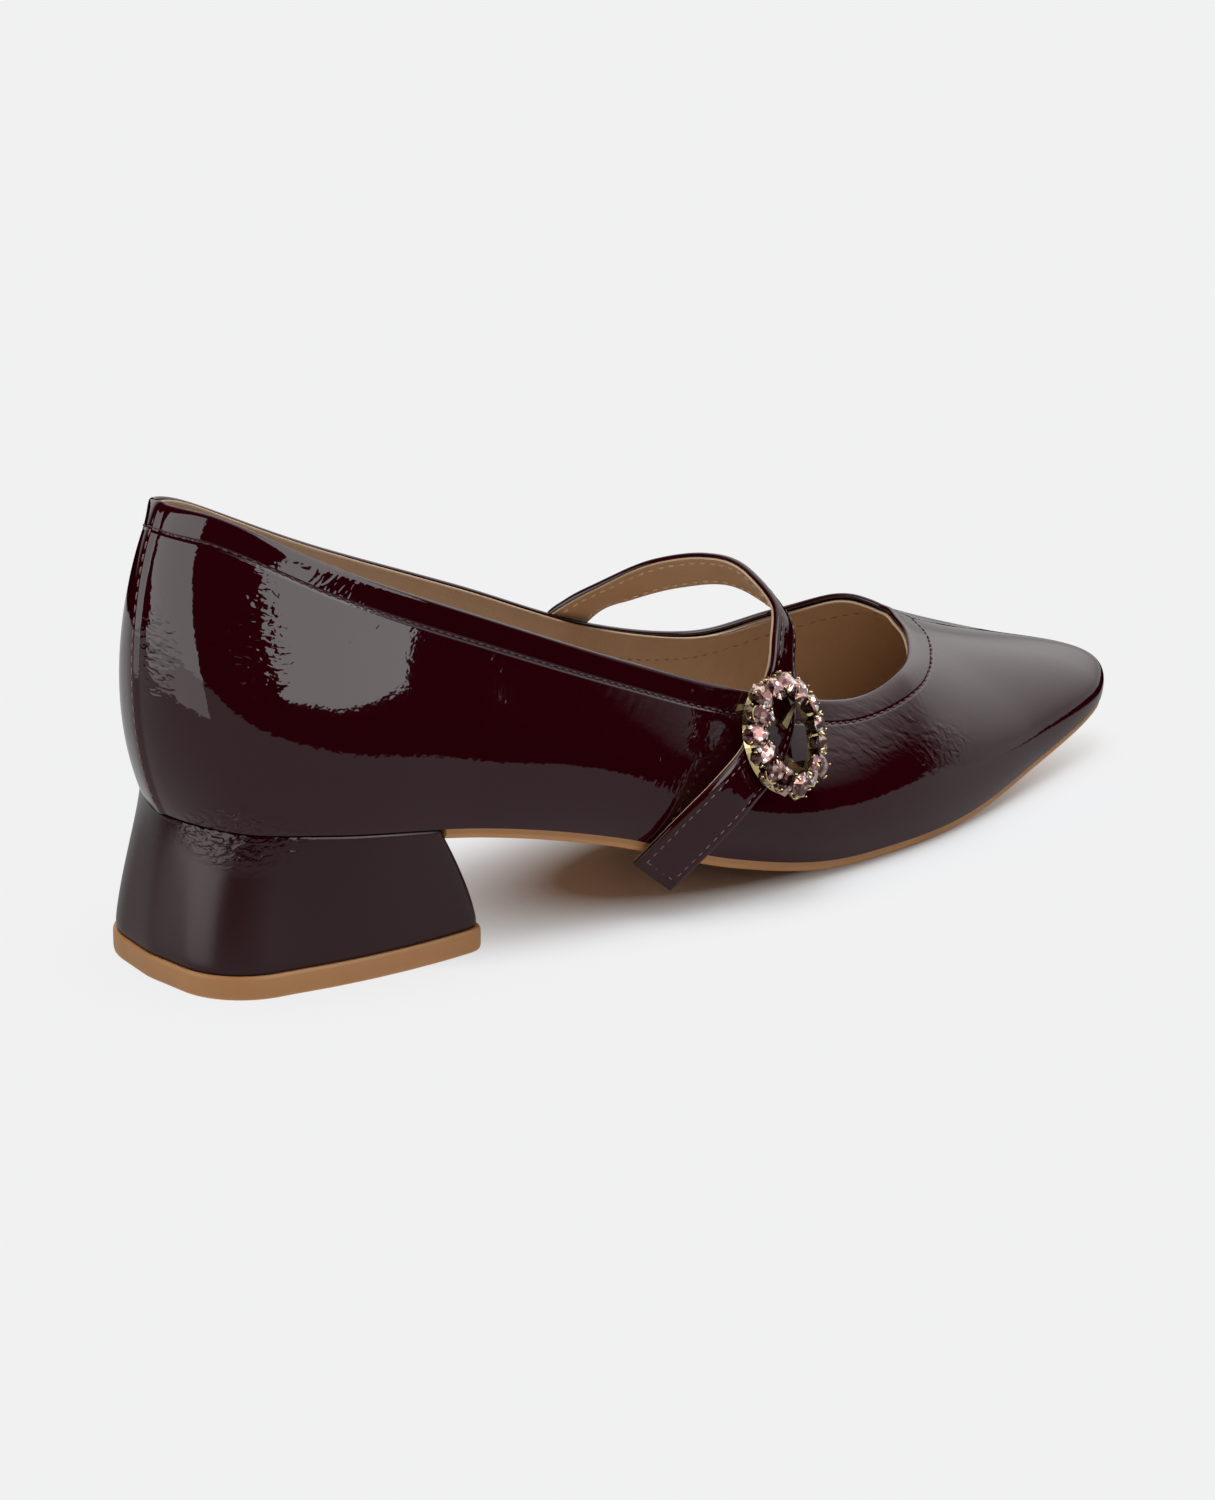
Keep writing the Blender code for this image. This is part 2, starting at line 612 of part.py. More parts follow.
def build_prong(look):
    """Flat prong: from beside the bar, up through the strap's hole and on to the rail."""
    root = BAR_HALF + FIT_GAP
    back = PRONG_HOLE_ALONG - PRONG_THICKNESS / 2
    front = PRONG_HOLE_ALONG + PRONG_THICKNESS / 2
    over = RING_LEVEL - 0.4
    high = PRONG_LOW + PRONG_THICKNESS
    outline = [(root, PRONG_LOW, PRONG_HALF), (front, PRONG_LOW, PRONG_HALF), (front, over, PRONG_HALF),
               (PRONG_TIP, over + 0.8, PRONG_TIP_HALF), (PRONG_TIP, over + 1.4, PRONG_TIP_HALF),
               (back, over + 0.8, PRONG_HALF), (back, high, PRONG_HALF), (root, high, PRONG_HALF)]
    near, far = ([(half * side, along, level) for along, level, half in outline] for side in (-1, 1))
    return plate_object("buckle_prong", near, far, [(0, 1, 6, 7), (1, 2, 5, 6), (2, 3, 4, 5)], look)


def build_rim_stones(look):
    """Faceted round stones in the rail's cups."""
    for index, turn in enumerate(even_turns(RIM_STONES)):
        place, _ = ring_place(turn, RIM_SHIFTS[index % 2])
        turned_object(f"rim_stone_{index + 1:02d}", STONE_PROFILE, RIM_SIDES,
                      (place[0], place[1], RING_LEVEL + FIT_GAP), look)


def main():
    for old in list(bpy.data.objects):
        bpy.data.objects.remove(old)
    patent = material("patent", (0.03, 0.002, 0.006), 0.12)
    sock = material("sock", (0.3, 0.18, 0.09), 0.6)
    tan = material("tan", (0.24, 0.11, 0.04), 0.5)
    gold = material("gold", (0.8, 0.6, 0.3), 0.2, 1.0)
    pink = material("pink_stone", (0.5, 0.25, 0.27), 0.05)
    build_upper(patent)
    build_insole(sock)
    build_outsole(tan)
    build_top_lift(tan)
    build_heel(patent)
    build_strap(patent)
    build_buckle_tab(patent)
    build_buckle_frame(gold)
    build_buckle_bar(gold)
    build_prong(gold)
    build_rim_stones(pink)


if __name__ == "__main__":
    main()
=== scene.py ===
import math
from collections import namedtuple

import bmesh
import bpy
import numpy as np
from mathutils import Matrix, Vector


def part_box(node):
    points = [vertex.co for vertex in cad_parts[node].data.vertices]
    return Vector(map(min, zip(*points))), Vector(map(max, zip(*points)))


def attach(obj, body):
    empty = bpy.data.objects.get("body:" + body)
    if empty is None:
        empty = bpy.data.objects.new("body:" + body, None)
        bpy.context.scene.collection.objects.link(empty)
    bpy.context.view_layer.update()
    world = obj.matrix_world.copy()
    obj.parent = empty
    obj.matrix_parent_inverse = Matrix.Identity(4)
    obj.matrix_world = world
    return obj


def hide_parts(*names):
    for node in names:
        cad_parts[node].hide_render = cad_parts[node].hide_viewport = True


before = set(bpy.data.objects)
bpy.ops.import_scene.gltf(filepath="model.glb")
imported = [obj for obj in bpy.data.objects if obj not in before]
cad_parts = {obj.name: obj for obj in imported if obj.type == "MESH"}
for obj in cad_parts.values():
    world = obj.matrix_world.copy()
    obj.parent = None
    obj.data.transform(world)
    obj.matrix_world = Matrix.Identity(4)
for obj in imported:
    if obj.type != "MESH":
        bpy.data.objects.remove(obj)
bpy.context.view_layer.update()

MM = 0.001

# Camera: a long lens about a metre away, seen from behind the shoe's outer side and a
# little above it, turned so that the one shoe fills the picture's width.
CAMERA_PLACE = (0.770, -0.494, 0.332)
CAMERA_TURN, CAMERA_DOWN, CAMERA_ROLL = (math.radians(angle) for angle in (53.2, 17.7, -0.1))
CAMERA_LENS = 116.0
camera = bpy.data.objects.new("camera", bpy.data.cameras.new("camera"))
camera.data.lens = CAMERA_LENS
camera.matrix_world = (
    Matrix.Translation(CAMERA_PLACE)
    @ Matrix.Rotation(CAMERA_TURN, 4, "Z")
    @ Matrix.Rotation(math.pi / 2 - CAMERA_DOWN, 4, "X")
    @ Matrix.Rotation(CAMERA_ROLL, 4, "Z"))
bpy.context.scene.collection.objects.link(camera)
bpy.context.scene.camera = camera
bpy.context.scene.view_settings.view_transform = "Standard"

# Studio floor: one wide pale sheet. The shoe's gloss mirrors only the small lit table
# round it, so past that oval the floor lets mirror rays through. Away from an oval under the
# ball of the foot the floor glows, a painted light that thins the shoe's shadow there.
FLOOR_HALF = 6.0
TABLE_MIDDLE = (0.0, -0.21, 0.0)
TABLE_SIZE = (0.375, 0.47, 1.0)
TABLE_RIM = (1.0, 1.02)    # where the table ends, in its own sizes
TABLE_MIRROR = 0.52        # share of the table's brightness that the gloss picks up
PAPER_GLOW = 0.88
PAPER_IN_SHADE = (0.785, 0.80, 0.83, 1.0)  # cool, against the tan light off the sole
SHADE_MIDDLE = (0.008, 0.115, 0.0)
SHADE_SIZE = (0.03, 0.075, 1.0)
SHADE_FADE = (0.66, 1.55)  # from full shadow to almost none, in sizes of the shade
OPEN_FLOOR_PAINTED_GLOW = 0.92          # painted glow of the open floor, as a share of PAPER_GLOW
BLACK = (0.0, 0.0, 0.0, 1.0)


def new_material(name):
    """Material with its node tree and its Principled shader."""
    made = bpy.data.materials.new(name)
    made.use_nodes = True
    return made, made.node_tree, made.node_tree.nodes["Principled BSDF"]


def fill(tree, node, sockets):
    """Each socket named takes a plain value or a link."""
    for name, value in sockets.items():
        if isinstance(value, bpy.types.NodeSocket):
            tree.links.new(value, node.inputs[name])
        else:
            node.inputs[name].default_value = value


def add_node(tree, kind, sockets=None, **settings):
    """Shader node with its settings and its sockets filled."""
    made = tree.nodes.new("ShaderNode" + kind)
    for name, value in settings.items():
        setattr(made, name, value)
    fill(tree, made, sockets or {})
    return made


def own_place(tree):
    """Place on the piece, in metres."""
    return add_node(tree, "TexCoord").outputs["Object"]


def remap(tree, source, over, values, soft=False):
    """Number that goes from one value to another while the source goes over a span."""
    steps = "SMOOTHSTEP" if soft else "LINEAR"
    return add_node(tree, "MapRange", {
        "Value": source, "From Min": over[0], "From Max": over[1],
        "To Min": values[0], "To Max": values[1]}, interpolation_type=steps).outputs[0]


def work_out(tree, operation, *values):
    """Result of one piece of arithmetic on numbers and links."""
    return add_node(tree, "Math", dict(enumerate(values)), operation=operation).outputs[0]


def distance_from(tree, place, middle, size):
    """Distance of a place from a middle, measured in sizes."""
    moved = add_node(tree, "Mapping", {"Vector": place, "Location": middle, "Scale": size},
                     vector_type="TEXTURE")
    return add_node(tree, "VectorMath", {0: moved.outputs[0]}, operation="LENGTH").outputs["Value"]


def blend(tree, share, colours):
    """Colour from the first to the second, by a share from 0 to 1."""
    return add_node(tree, "Mix", {"Factor": share, "A": colours[0], "B": colours[1]},
                    data_type="RGBA").outputs["Result"]


def finish_mesh(name, body, look, flat=False):
    """Object at the origin from a bmesh in metres."""
    mesh = bpy.data.meshes.new(name)
    body.to_mesh(mesh)
    body.free()
    mesh.materials.append(look)
    if not flat:
        mesh.shade_smooth()
    made = bpy.data.objects.new(name, mesh)
    bpy.context.scene.collection.objects.link(made)
    return made


paper, tree, shader = new_material("studio paper")
place = own_place(tree)
in_shade = distance_from(tree, place, SHADE_MIDDLE, SHADE_SIZE)
# Painted light: outside the shade oval the floor glows, which thins the shoe's shadow there.
painted_floor_glow = remap(tree, in_shade, SHADE_FADE, (0.0, OPEN_FLOOR_PAINTED_GLOW))
fill(tree, shader, {
    "Base Color": blend(tree, painted_floor_glow, (PAPER_IN_SHADE, BLACK)), "Roughness": 1.0,
    "Specular IOR Level": 0.0, "Emission Color": painted_floor_glow, "Emission Strength": PAPER_GLOW})
from_table = distance_from(tree, place, TABLE_MIDDLE, TABLE_SIZE)
outside = remap(tree, from_table, TABLE_RIM, (1.0 - TABLE_MIRROR, 1.0))
mirrored = add_node(tree, "LightPath").outputs["Is Glossy Ray"]
clear = add_node(tree, "BsdfTransparent")
choice = add_node(tree, "MixShader", {
    0: work_out(tree, "MULTIPLY", outside, mirrored), 1: shader.outputs[0], 2: clear.outputs[0]})
fill(tree, tree.nodes["Material Output"], {"Surface": choice.outputs[0]})
body = bmesh.new()
bmesh.ops.create_grid(body, x_segments=1, y_segments=1, size=FLOOR_HALF)
floor = finish_mesh("floor", body, paper)

# Room: pale light from above for matt surfaces, and for gloss a dark studio with one pale
# wall on the far side of the shoe and a ceiling that brightens over its toe.
WHITE = (1.0, 1.0, 1.0, 1.0)
WALL_FACING = (-0.6, 0.8, 0.0)
WALL_EDGE = (0.45, 0.70)      # soft sides of the wall, as cosines from its facing
WALL_FOOT = (-0.138, -0.126)  # where it ends, as sines of the angle above the horizon
WALL_GLOW = 0.52
CEILING_FACING = (0.0, 0.5, 0.866)
CEILING_EDGE = (0.45, 0.985)
CEILING_GLOW = 2.12
SKY_LOW = 0.154          # brightness at the horizon
SKY_HIGH = 9.46          # brightness added overhead
SKY_STEEP = 18.0         # how steeply it falls off towards the walls
room = bpy.data.worlds.new("studio room")
bpy.context.scene.world = room
room.use_nodes = True
tree = room.node_tree
toward = add_node(tree, "TexCoord").outputs["Generated"]
rise = add_node(tree, "SeparateXYZ", {0: toward}).outputs["Z"]
height = add_node(tree, "Clamp", {"Value": rise}).outputs[0]
overhead = work_out(tree, "POWER", height, SKY_STEEP)
glow = work_out(tree, "MULTIPLY_ADD", overhead, SKY_HIGH, SKY_LOW)
for_matt = tree.nodes["Background"]
fill(tree, for_matt, {"Color": WHITE, "Strength": glow})


def glow_round(tree, facing, edge, glow, soft):
    """Glow of the part of the room that lies round a direction."""
    cosine = add_node(tree, "VectorMath", {0: toward, 1: facing}, operation="DOT_PRODUCT")
    return remap(tree, cosine.outputs["Value"], edge, (0.0, glow), soft)


wall = glow_round(tree, WALL_FACING, WALL_EDGE, WALL_GLOW, soft=True)
ceiling = glow_round(tree, CEILING_FACING, CEILING_EDGE, CEILING_GLOW, soft=False)
foot = remap(tree, rise, WALL_FOOT, (0.0, 1.0))
glow = work_out(tree, "MULTIPLY_ADD", wall, foot, ceiling)
for_gloss = add_node(tree, "Background", {"Color": WHITE, "Strength": glow})
backdrop = add_node(tree, "Background", {"Color": WHITE, "Strength": PAPER_GLOW})
path = add_node(tree, "LightPath")
unseen = add_node(tree, "MixShader", {
    0: path.outputs["Is Glossy Ray"], 1: for_matt.outputs[0], 2: for_gloss.outputs[0]})
whole = add_node(tree, "MixShader", {
    0: path.outputs["Is Camera Ray"], 1: unseen.outputs[0], 2: backdrop.outputs[0]})
fill(tree, tree.nodes["World Output"], {"Surface": whole.outputs[0]})

# Softboxes: two plain lit panels, one behind the shoe and one on its outer side, whose
# mirror images are the pale shapes in the patent. They are seen by gloss only.
Panel = namedtuple("Panel", "name centre width height glow")
PANELS = [
    Panel("back softbox", (-0.41, -1.44, 0.22), 1.25, 1.15, 2.5),
    Panel("side softbox", (1.41, 0.34, 0.75), 1.48, 1.36, 3.1),
]
SHOE_MIDDLE = Vector((0.0, 0.09, 0.05))
for panel in PANELS:
    light = bpy.data.lights.new(panel.name, "AREA")
    light.shape = "RECTANGLE"
    light.size = panel.width
    light.size_y = panel.height
    light.energy = panel.glow * math.pi * panel.width * panel.height
    lamp = bpy.data.objects.new(panel.name, light)
    lamp.location = panel.centre
    lamp.rotation_mode = "QUATERNION"
    lamp.rotation_quaternion = (SHOE_MIDDLE - Vector(panel.centre)).to_track_quat("-Z", "Y")
    lamp.visible_diffuse = lamp.visible_camera = lamp.visible_transmission = False
    bpy.context.scene.collection.objects.link(lamp)

# Upper: the hollow shell of crinkled burgundy patent, lasted to a point. Its sheet runs
# from the sole's edge up each side to the collar and is folded over the collar's edge.
# The seat is the level of its lower edge: each row is a place, how far along, and a height.
SEAT = [
    ("back", -36.0, 33.5),
    ("seat", -6.0, 32.0),
    ("seat front", 30.0, 27.0),
    ("waist", 60.0, 19.0),
    ("arch", 89.0, 9.0),
    ("ball", 116.0, 3.3),
    ("tread back", 134.0, 2.5),
    ("tread front", 158.0, 2.5),
    ("toe joint", 188.0, 6.0),
    ("toe", 228.0, 12.0),
]
# Sections up the sheet's sides: share of the way from back to toe, lower edge, collar, and
# the curve between them, which swells by bulge, and leaves its ends by rise and by drop.
Section = namedtuple(
    "Section", "place share foot_x foot_y top_x top_y top_z bulge rise reach drop")
OUTER_SIDE = [Section(*row) for row in (
    ("back", 0.0, 0.0, -26.5, 0.0, -23.5, 95.0, 10.5, 21.5, 0.19, 4.5),
    ("back corner", 0.075, 17.0, -22.5, 12.0, -20.0, 94.5, 8.5, 22.0, 0.15, 14.0),
    ("seat", 0.19, 28.5, -6.5, 23.5, -2.0, 84.5, 6.0, 17.5, 0.08, 15.5),
    ("seat front", 0.36, 32.0, 29.0, 28.0, 33.0, 68.5, 3.5, 14.0, 0.05, 14.0),
    ("waist", 0.47, 32.0, 61.0, 28.5, 64.0, 55.0, 6.0, 11.5, 0.05, 12.0),
    ("joint", 0.58, 34.5, 89.0, 27.5, 97.0, 42.0, 6.0, 11.5, 0.05, 10.0),
    ("ball", 0.68, 34.5, 114.5, 25.5, 125.0, 34.5, 5.0, 11.5, 0.12, 4.0),
    ("vamp", 0.79, 29.0, 150.0, 21.5, 143.5, 36.5, 3.5, 9.0, 0.29, 0.0),
    ("toe side", 0.89, 16.0, 187.0, 11.0, 154.0, 39.5, 2.5, 10.0, 0.34, 5.0),
    ("toe corner", 0.965, 0.5, 221.0, 2.5, 158.0, 41.0, 2.0, 11.5, 0.37, 10.5),
    ("toe", 1.0, -8.0, 228.0, -3.0, 159.5, 42.0, 3.0, 13.0, 0.38, 14.5),
)]
INNER_SIDE = [Section(*row) for row in (
    OUTER_SIDE[0],
    ("back corner", 0.075, -19.0, -20.5, -12.0, -19.5, 93.0, 7.0, 23.5, 0.16, 14.0),
    ("seat", 0.19, -25.0, -7.0, -24.5, -5.5, 88.0, 3.0, 18.5, 0.10, 15.0),
    ("seat front", 0.36, -26.5, 30.0, -29.5, 31.0, 71.0, 2.5, 14.5, 0.05, 14.0),
    ("waist", 0.47, -24.0, 60.0, -30.0, 65.5, 57.0, 5.5, 12.0, 0.05, 12.0),
    ("joint", 0.58, -26.0, 90.0, -31.0, 100.0, 42.5, 6.0, 11.5, 0.05, 10.0),
    ("ball", 0.68, -32.5, 120.0, -30.0, 127.0, 36.0, 5.0, 11.5, 0.15, 3.5),
    ("vamp", 0.79, -32.5, 155.0, -24.5, 146.5, 38.5, 4.0, 8.0, 0.28, 0.5),
    ("toe side", 0.89, -22.0, 190.0, -15.5, 156.5, 42.5, 3.0, 9.5, 0.31, 6.0),
    ("toe corner", 0.965, -11.5, 222.0, -8.0, 159.0, 42.5, 2.5, 12.0, 0.35, 11.0),
    OUTER_SIDE[-1],
)]
TOE_SLOPE = 0.15         # slope of the seat at the toe
TOP_BULGE = 0.5          # share of the bulge that is left near the collar
WALL = 1.8               # outer leather and lining together
FOLD_RADIUS = 0.55
FOLD_TURN = 0.7          # share of the fold's rows that go round its edge
FOLD_INSIDE = 1.0        # how far the fold reaches down inside
LAP_RISE = 0.45          # the inner quarter laps over the outer one at the back
LAP_REACH = (4.0, 0.5)   # from the back seam: over the inner side, and past its edge
LAP_FRONT = -16.0        # the lap fades out in front of this place
BAND_SWELL = 0.6         # the folded collar thickens from its stitches to its edge
BAND_FULL = 0.85         # share of its height at which it is full
UPPER_COLUMNS = 700
FACE_ROWS = 66
FOLD_ROWS = 10
PATENT_ROWS = FACE_ROWS + FOLD_ROWS
TOE_BUNCHING = 0.09      # how much closer together the columns are round the toe
NEAR = 0.002             # step on the skin that a direction is taken over


def smooth(knots, values, at, first=None, last=None):
    """Smooth curve through the values, with its slopes taken from the neighbours."""
    knots = np.asarray(knots, float)
    values = np.asarray(values, float)
    steps = np.diff(knots)
    rises = np.diff(values) / steps
    slopes = np.empty_like(values)
    slopes[1:-1] = (rises[:-1] * steps[1:] + rises[1:] * steps[:-1]) / (steps[:-1] + steps[1:])
    slopes[0] = rises[0] if first is None else first
    slopes[-1] = rises[-1] if last is None else last
    cell = np.clip(np.searchsorted(knots, at, side="right") - 1, 0, len(steps) - 1)
    t = (at - knots[cell]) / steps[cell]
    start = (2 * t**3 - 3 * t**2 + 1) * values[cell]
    leaving = (t**3 - 2 * t**2 + t) * steps[cell] * slopes[cell]
    end = (3 * t**2 - 2 * t**3) * values[cell + 1]
    arriving = (t**3 - t**2) * steps[cell] * slopes[cell + 1]
    return (start + leaving) + (end + arriving)


def seat_height(along):
    """Height of the upper's lower edge at a place along the shoe."""
    _, alongs, heights = zip(*SEAT)
    return smooth(alongs, heights, along, last=TOE_SLOPE)


def section_values(side, share):
    """Every column of the side's table at the given shares, smooth across back and toe."""
    twin = INNER_SIDE if side is OUTER_SIDE else OUTER_SIDE
    knots = [row.share for row in side]
    found = {}
    for column in Section._fields[2:]:
        values = [getattr(row, column) for row in side]
        first = last = 0.0
        if column in ("foot_x", "top_x"):
            first = values[1] / knots[1]
            last = (getattr(twin[-2], column) - values[-2]) / (2 * (knots[-1] - knots[-2]))
        found[column] = smooth(knots, values, share, first, last)
    return found


def unit(vectors):
    """Vectors of length one."""
    return vectors / np.linalg.norm(vectors, axis=-1, keepdims=True)


def foot_outline(side, share):
    """Points of the upper's lower edge, and the level directions that point out of the shoe."""
    turn = 1.0 if side is OUTER_SIDE else -1.0
    values = section_values(side, share)
    along = values["foot_y"]
    points = np.stack([values["foot_x"], along, seat_height(along)], 1)
    ahead = section_values(side, np.minimum(share + NEAR / 2, 1.0))
    behind = section_values(side, np.maximum(share - NEAR / 2, 0.0))
    run_x, run_y = (ahead[name] - behind[name] for name in ("foot_x", "foot_y"))
    return points, unit(np.stack([run_y, -run_x, np.zeros_like(run_x)], 1) * turn)


def skin(side, share, height):
    """Points of the upper's outer face at paired shares (back to toe) and heights (0 to 1)."""
    values = section_values(side, share)
    foot, outward = foot_outline(side, share)
    top = np.stack([values["top_x"], values["top_y"], values["top_z"]], 1)
    up = np.array([0.0, 0.0, 1.0])
    bulge = values["bulge"][:, None]
    low_handle = foot + outward * bulge + up * values["rise"][:, None]
    inward = (foot - top) * [1.0, 1.0, 0.0]
    high_handle = top + inward * values["reach"][:, None] - up * values["drop"][:, None]
    high_handle = high_handle + outward * bulge * TOP_BULGE
    t = height[:, None]
    return ((1 - t)**3 * foot + 3 * (1 - t)**2 * t * low_handle
            + 3 * (1 - t) * t**2 * high_handle + t**3 * top)


def there_and_back(turn):
    """Share from back to toe for a turn: 0 to 1 on the outer side, 1 to 0 on the inner."""
    return np.where(turn <= 1.0, turn, 2.0 - turn)


def around(turn, height):
    """The skin's points for turns 0 to 2: outer side back to toe, then inner side toe to back."""
    turn = turn % 2.0
    outer = turn <= 1.0
    share = there_and_back(turn)
    points = np.empty(turn.shape + (3,))
    for side, chosen in ((OUTER_SIDE, outer), (INNER_SIDE, ~outer)):
        if chosen.any():
            points[chosen] = skin(side, share[chosen], height[chosen])
    return points


def skin_frame(turn, height):
    """Points on the outer face with their outward, forward and rising directions."""
    point = around(turn, height)
    forward = unit(around(turn + NEAR, height) - around(turn - NEAR, height))
    low = np.clip(height - NEAR, 0.0, 1.0)
    high = np.clip(height + NEAR, 0.0, 1.0)
    rising = unit(around(turn, high) - around(turn, low))
    outward = unit(np.cross(forward, rising))
    rising = np.cross(outward, forward)
    return point, outward, forward, rising


def bunched(share, by):
    """Shares drawn closer together towards the toe."""
    return share - by * np.sin(2 * np.pi * share) * share


def spread_turns(u):
    """Even steps 0 to 1 as turns 0 to 2, closer together round the toe."""
    turn = 2.0 * u
    share = bunched(there_and_back(turn), TOE_BUNCHING)
    return np.where(turn <= 1.0, share, 2.0 - share)


def length_along(points):
    """Distance from the first point to each point along a line of points."""
    return np.concatenate([[0.0], np.cumsum(np.linalg.norm(np.diff(points, axis=0), axis=-1))])


# Lengths on the skin: how far each place lies below the collar, and along it.
MAP_TURNS = 480
MAP_HEIGHTS = 60
COLLAR_ROW = -6          # the map's row that lies near the collar's stitches
map_turns = np.linspace(0.0, 2.0, MAP_TURNS + 1)
map_heights = np.linspace(0.0, 1.0, MAP_HEIGHTS + 1)
skin_map = around(np.repeat(map_turns, MAP_HEIGHTS + 1), np.tile(map_heights, MAP_TURNS + 1))
skin_map = skin_map.reshape(MAP_TURNS + 1, MAP_HEIGHTS + 1, 3)
rises = np.linalg.norm(np.diff(skin_map, axis=1), axis=2)
depth_map = np.zeros((MAP_TURNS + 1, MAP_HEIGHTS + 1))
depth_map[:, :-1] = np.cumsum(rises[:, ::-1], axis=1)[:, ::-1]
collar_run = length_along(skin_map[:, COLLAR_ROW])

# The collar's stitch row: its distance below the edge at each share from back to toe.
ROW_SHARES = [0.0, 0.2, 0.5, 0.7, 0.82, 0.92, 1.0]
ROW_DEPTHS = [5.5, 5.8, 5.5, 5.3, 6.0, 7.0, 7.5]


def depth_below(turn, height):
    """Distance below the collar's edge along the skin."""
    across = turn % 2.0 / 2.0 * MAP_TURNS
    rise = np.clip(height, 0.0, 1.0) * MAP_HEIGHTS
    column = np.minimum(across.astype(int), MAP_TURNS - 1)
    row = np.minimum(rise.astype(int), MAP_HEIGHTS - 1)
    a = across - column
    b = rise - row
    return ((1 - a) * (1 - b) * depth_map[column, row] + a * (1 - b) * depth_map[column + 1, row]
            + (1 - a) * b * depth_map[column, row + 1] + a * b * depth_map[column + 1, row + 1])


def height_at(turn, depth):
    """Height value that lies a distance below the collar, for one turn."""
    column = depth_map[int(round(turn % 2.0 / 2.0 * MAP_TURNS))]
    return float(np.interp(depth, column[::-1], map_heights[::-1]))


def row_depth(turn):
    """Distance of the stitch row below the collar's edge."""
    return smooth(ROW_SHARES, ROW_DEPTHS, there_and_back(turn % 2.0))


SAME_PLACE = 0.002 * MM  # corners closer than this are one corner


def sheet(name, columns, rows, place, look, sharp_degrees=180.0, mark=None, cap=False):
    """Grid moved to place(u, v), in millimetres; its UV map keeps u and v, or mark(u, v)."""
    body = bmesh.new()
    layer = body.loops.layers.uv.new("UVMap")
    bmesh.ops.create_grid(body, x_segments=columns, y_segments=rows, size=0.5)
    at = np.array([corner.co for corner in body.verts])
    u, v = at[:, 0] + 0.5, at[:, 1] + 0.5
    points = place(u, v) * MM
    marks = np.stack([u, v], 1) if mark is None else mark(u, v) * MM
    for face in body.faces:
        for loop in face.loops:
            loop[layer].uv = marks[loop.vert.index]
    for corner, point in zip(body.verts, points):
        corner.co = point
    bmesh.ops.remove_doubles(body, verts=body.verts, dist=SAME_PLACE)
    bmesh.ops.dissolve_degenerate(body, edges=body.edges, dist=SAME_PLACE)
    if cap:
        open_edges = [edge for edge in body.edges if edge.is_boundary]
        bmesh.ops.holes_fill(body, edges=open_edges)
        bmesh.ops.recalc_face_normals(body, faces=body.faces)
        if body.calc_volume(signed=True) < 0.0:
            bmesh.ops.reverse_faces(body, faces=body.faces)
    made = finish_mesh(name, body, look)
    if sharp_degrees < 180.0:
        made.data.set_sharp_from_angle(angle=math.radians(sharp_degrees))
    return made


def patent_place(u, v):
    """Outer face up to the collar, then the fold over the edge and a short way down inside."""
    turn = spread_turns(u)
    row = v * PATENT_ROWS
    on_face = np.minimum(row / FACE_ROWS, 1.0)
    on_fold = np.maximum(row - FACE_ROWS, 0.0) / FOLD_ROWS
    point, outward, _, rising = skin_frame(turn, on_face)
    point = point - rising * FOLD_RADIUS * (on_face**12)[:, None]
    back = np.exp(-np.maximum(point[:, 1] - LAP_FRONT, 0.0))
    across = point[:, 0]
    lap = np.exp(-(across / np.where(across < 0.0, LAP_REACH[0], LAP_REACH[1]))**2)
    point = point + outward * (LAP_RISE * lap * back)[:, None]
    up_band = 1.0 - np.clip(depth_below(turn, on_face) / row_depth(turn), 0.0, 1.0)
    point = point + outward * (BAND_SWELL * np.minimum(up_band, BAND_FULL))[:, None]
    bend = np.minimum(on_fold / FOLD_TURN, 1.0) * np.pi
    down = np.maximum(on_fold - FOLD_TURN, 0.0) / (1.0 - FOLD_TURN) * FOLD_INSIDE
    over = FOLD_RADIUS * (1.0 - np.cos(bend))
    above = FOLD_RADIUS * np.sin(bend) - down
    folded = on_fold > 0.0
    return point + np.where(folded[:, None], rising * above[:, None] - outward * over[:, None], 0.0)


def patent_mark(u, v):
    """Distance along the collar, and distance above its stitch row."""
    turn = spread_turns(u)
    on_face = np.minimum(v * PATENT_ROWS / FACE_ROWS, 1.0)
    along = np.interp(turn, map_turns, collar_run)
    return np.stack([along, row_depth(turn) - depth_below(turn, on_face)], 1)


PATENT = (0.028, 0.0011, 0.0036, 1.0)
CRINKLE_SCALE = 800.0
PATENT_ROUGHNESS = 0.035

# Creases pressed into the film, each a patch of soft troughs and ridges. centre and reach:
# the patch. lean: the creases' slope, in degrees, seen from the outer side, rising towards
# the toe. length, pitch and height: of one crease.
Crease = namedtuple("Crease", "place centre reach lean length pitch height")
CREASES = [
    Crease("counter edge", (21.0, -17.0, 74.0), (10.0, 9.0, 19.0), -10.0, 2.2, 1.2, 0.25),
    Crease("back seam", (6.0, -29.5, 69.0), (7.0, 7.0, 15.0), -28.0, 2.6, 1.2, 0.20),
    Crease("outer quarter", (26.0, -2.0, 76.0), (9.0, 14.0, 12.0), 50.0, 3.5, 1.2, 0.12),
    Crease("behind strap", (34.0, 72.0, 28.0), (9.0, 12.0, 10.0), 60.0, 3.0, 1.2, 0.09),
    Crease("behind buckle", (33.0, 86.0, 36.0), (9.0, 12.0, 8.0), 20.0, 2.0, 1.2, 0.07),
    Crease("below buckle", (29.5, 128.0, 28.0), (12.0, 22.0, 9.0), -35.0, 3.5, 1.2, 0.16),
    Crease("toe side", (28.0, 150.0, 20.0), (12.0, 15.0, 7.0), -35.0, 3.0, 1.2, 0.12),
    Crease("heel back", (20.0, -22.0, 32.0), (18.0, 18.0, 8.0), 12.0, 2.2, 1.0, 0.55),
]
CREASE_CORE = 0.45       # a patch fades from this share of its reach to its edge
CREASE_WAVER = 0.4


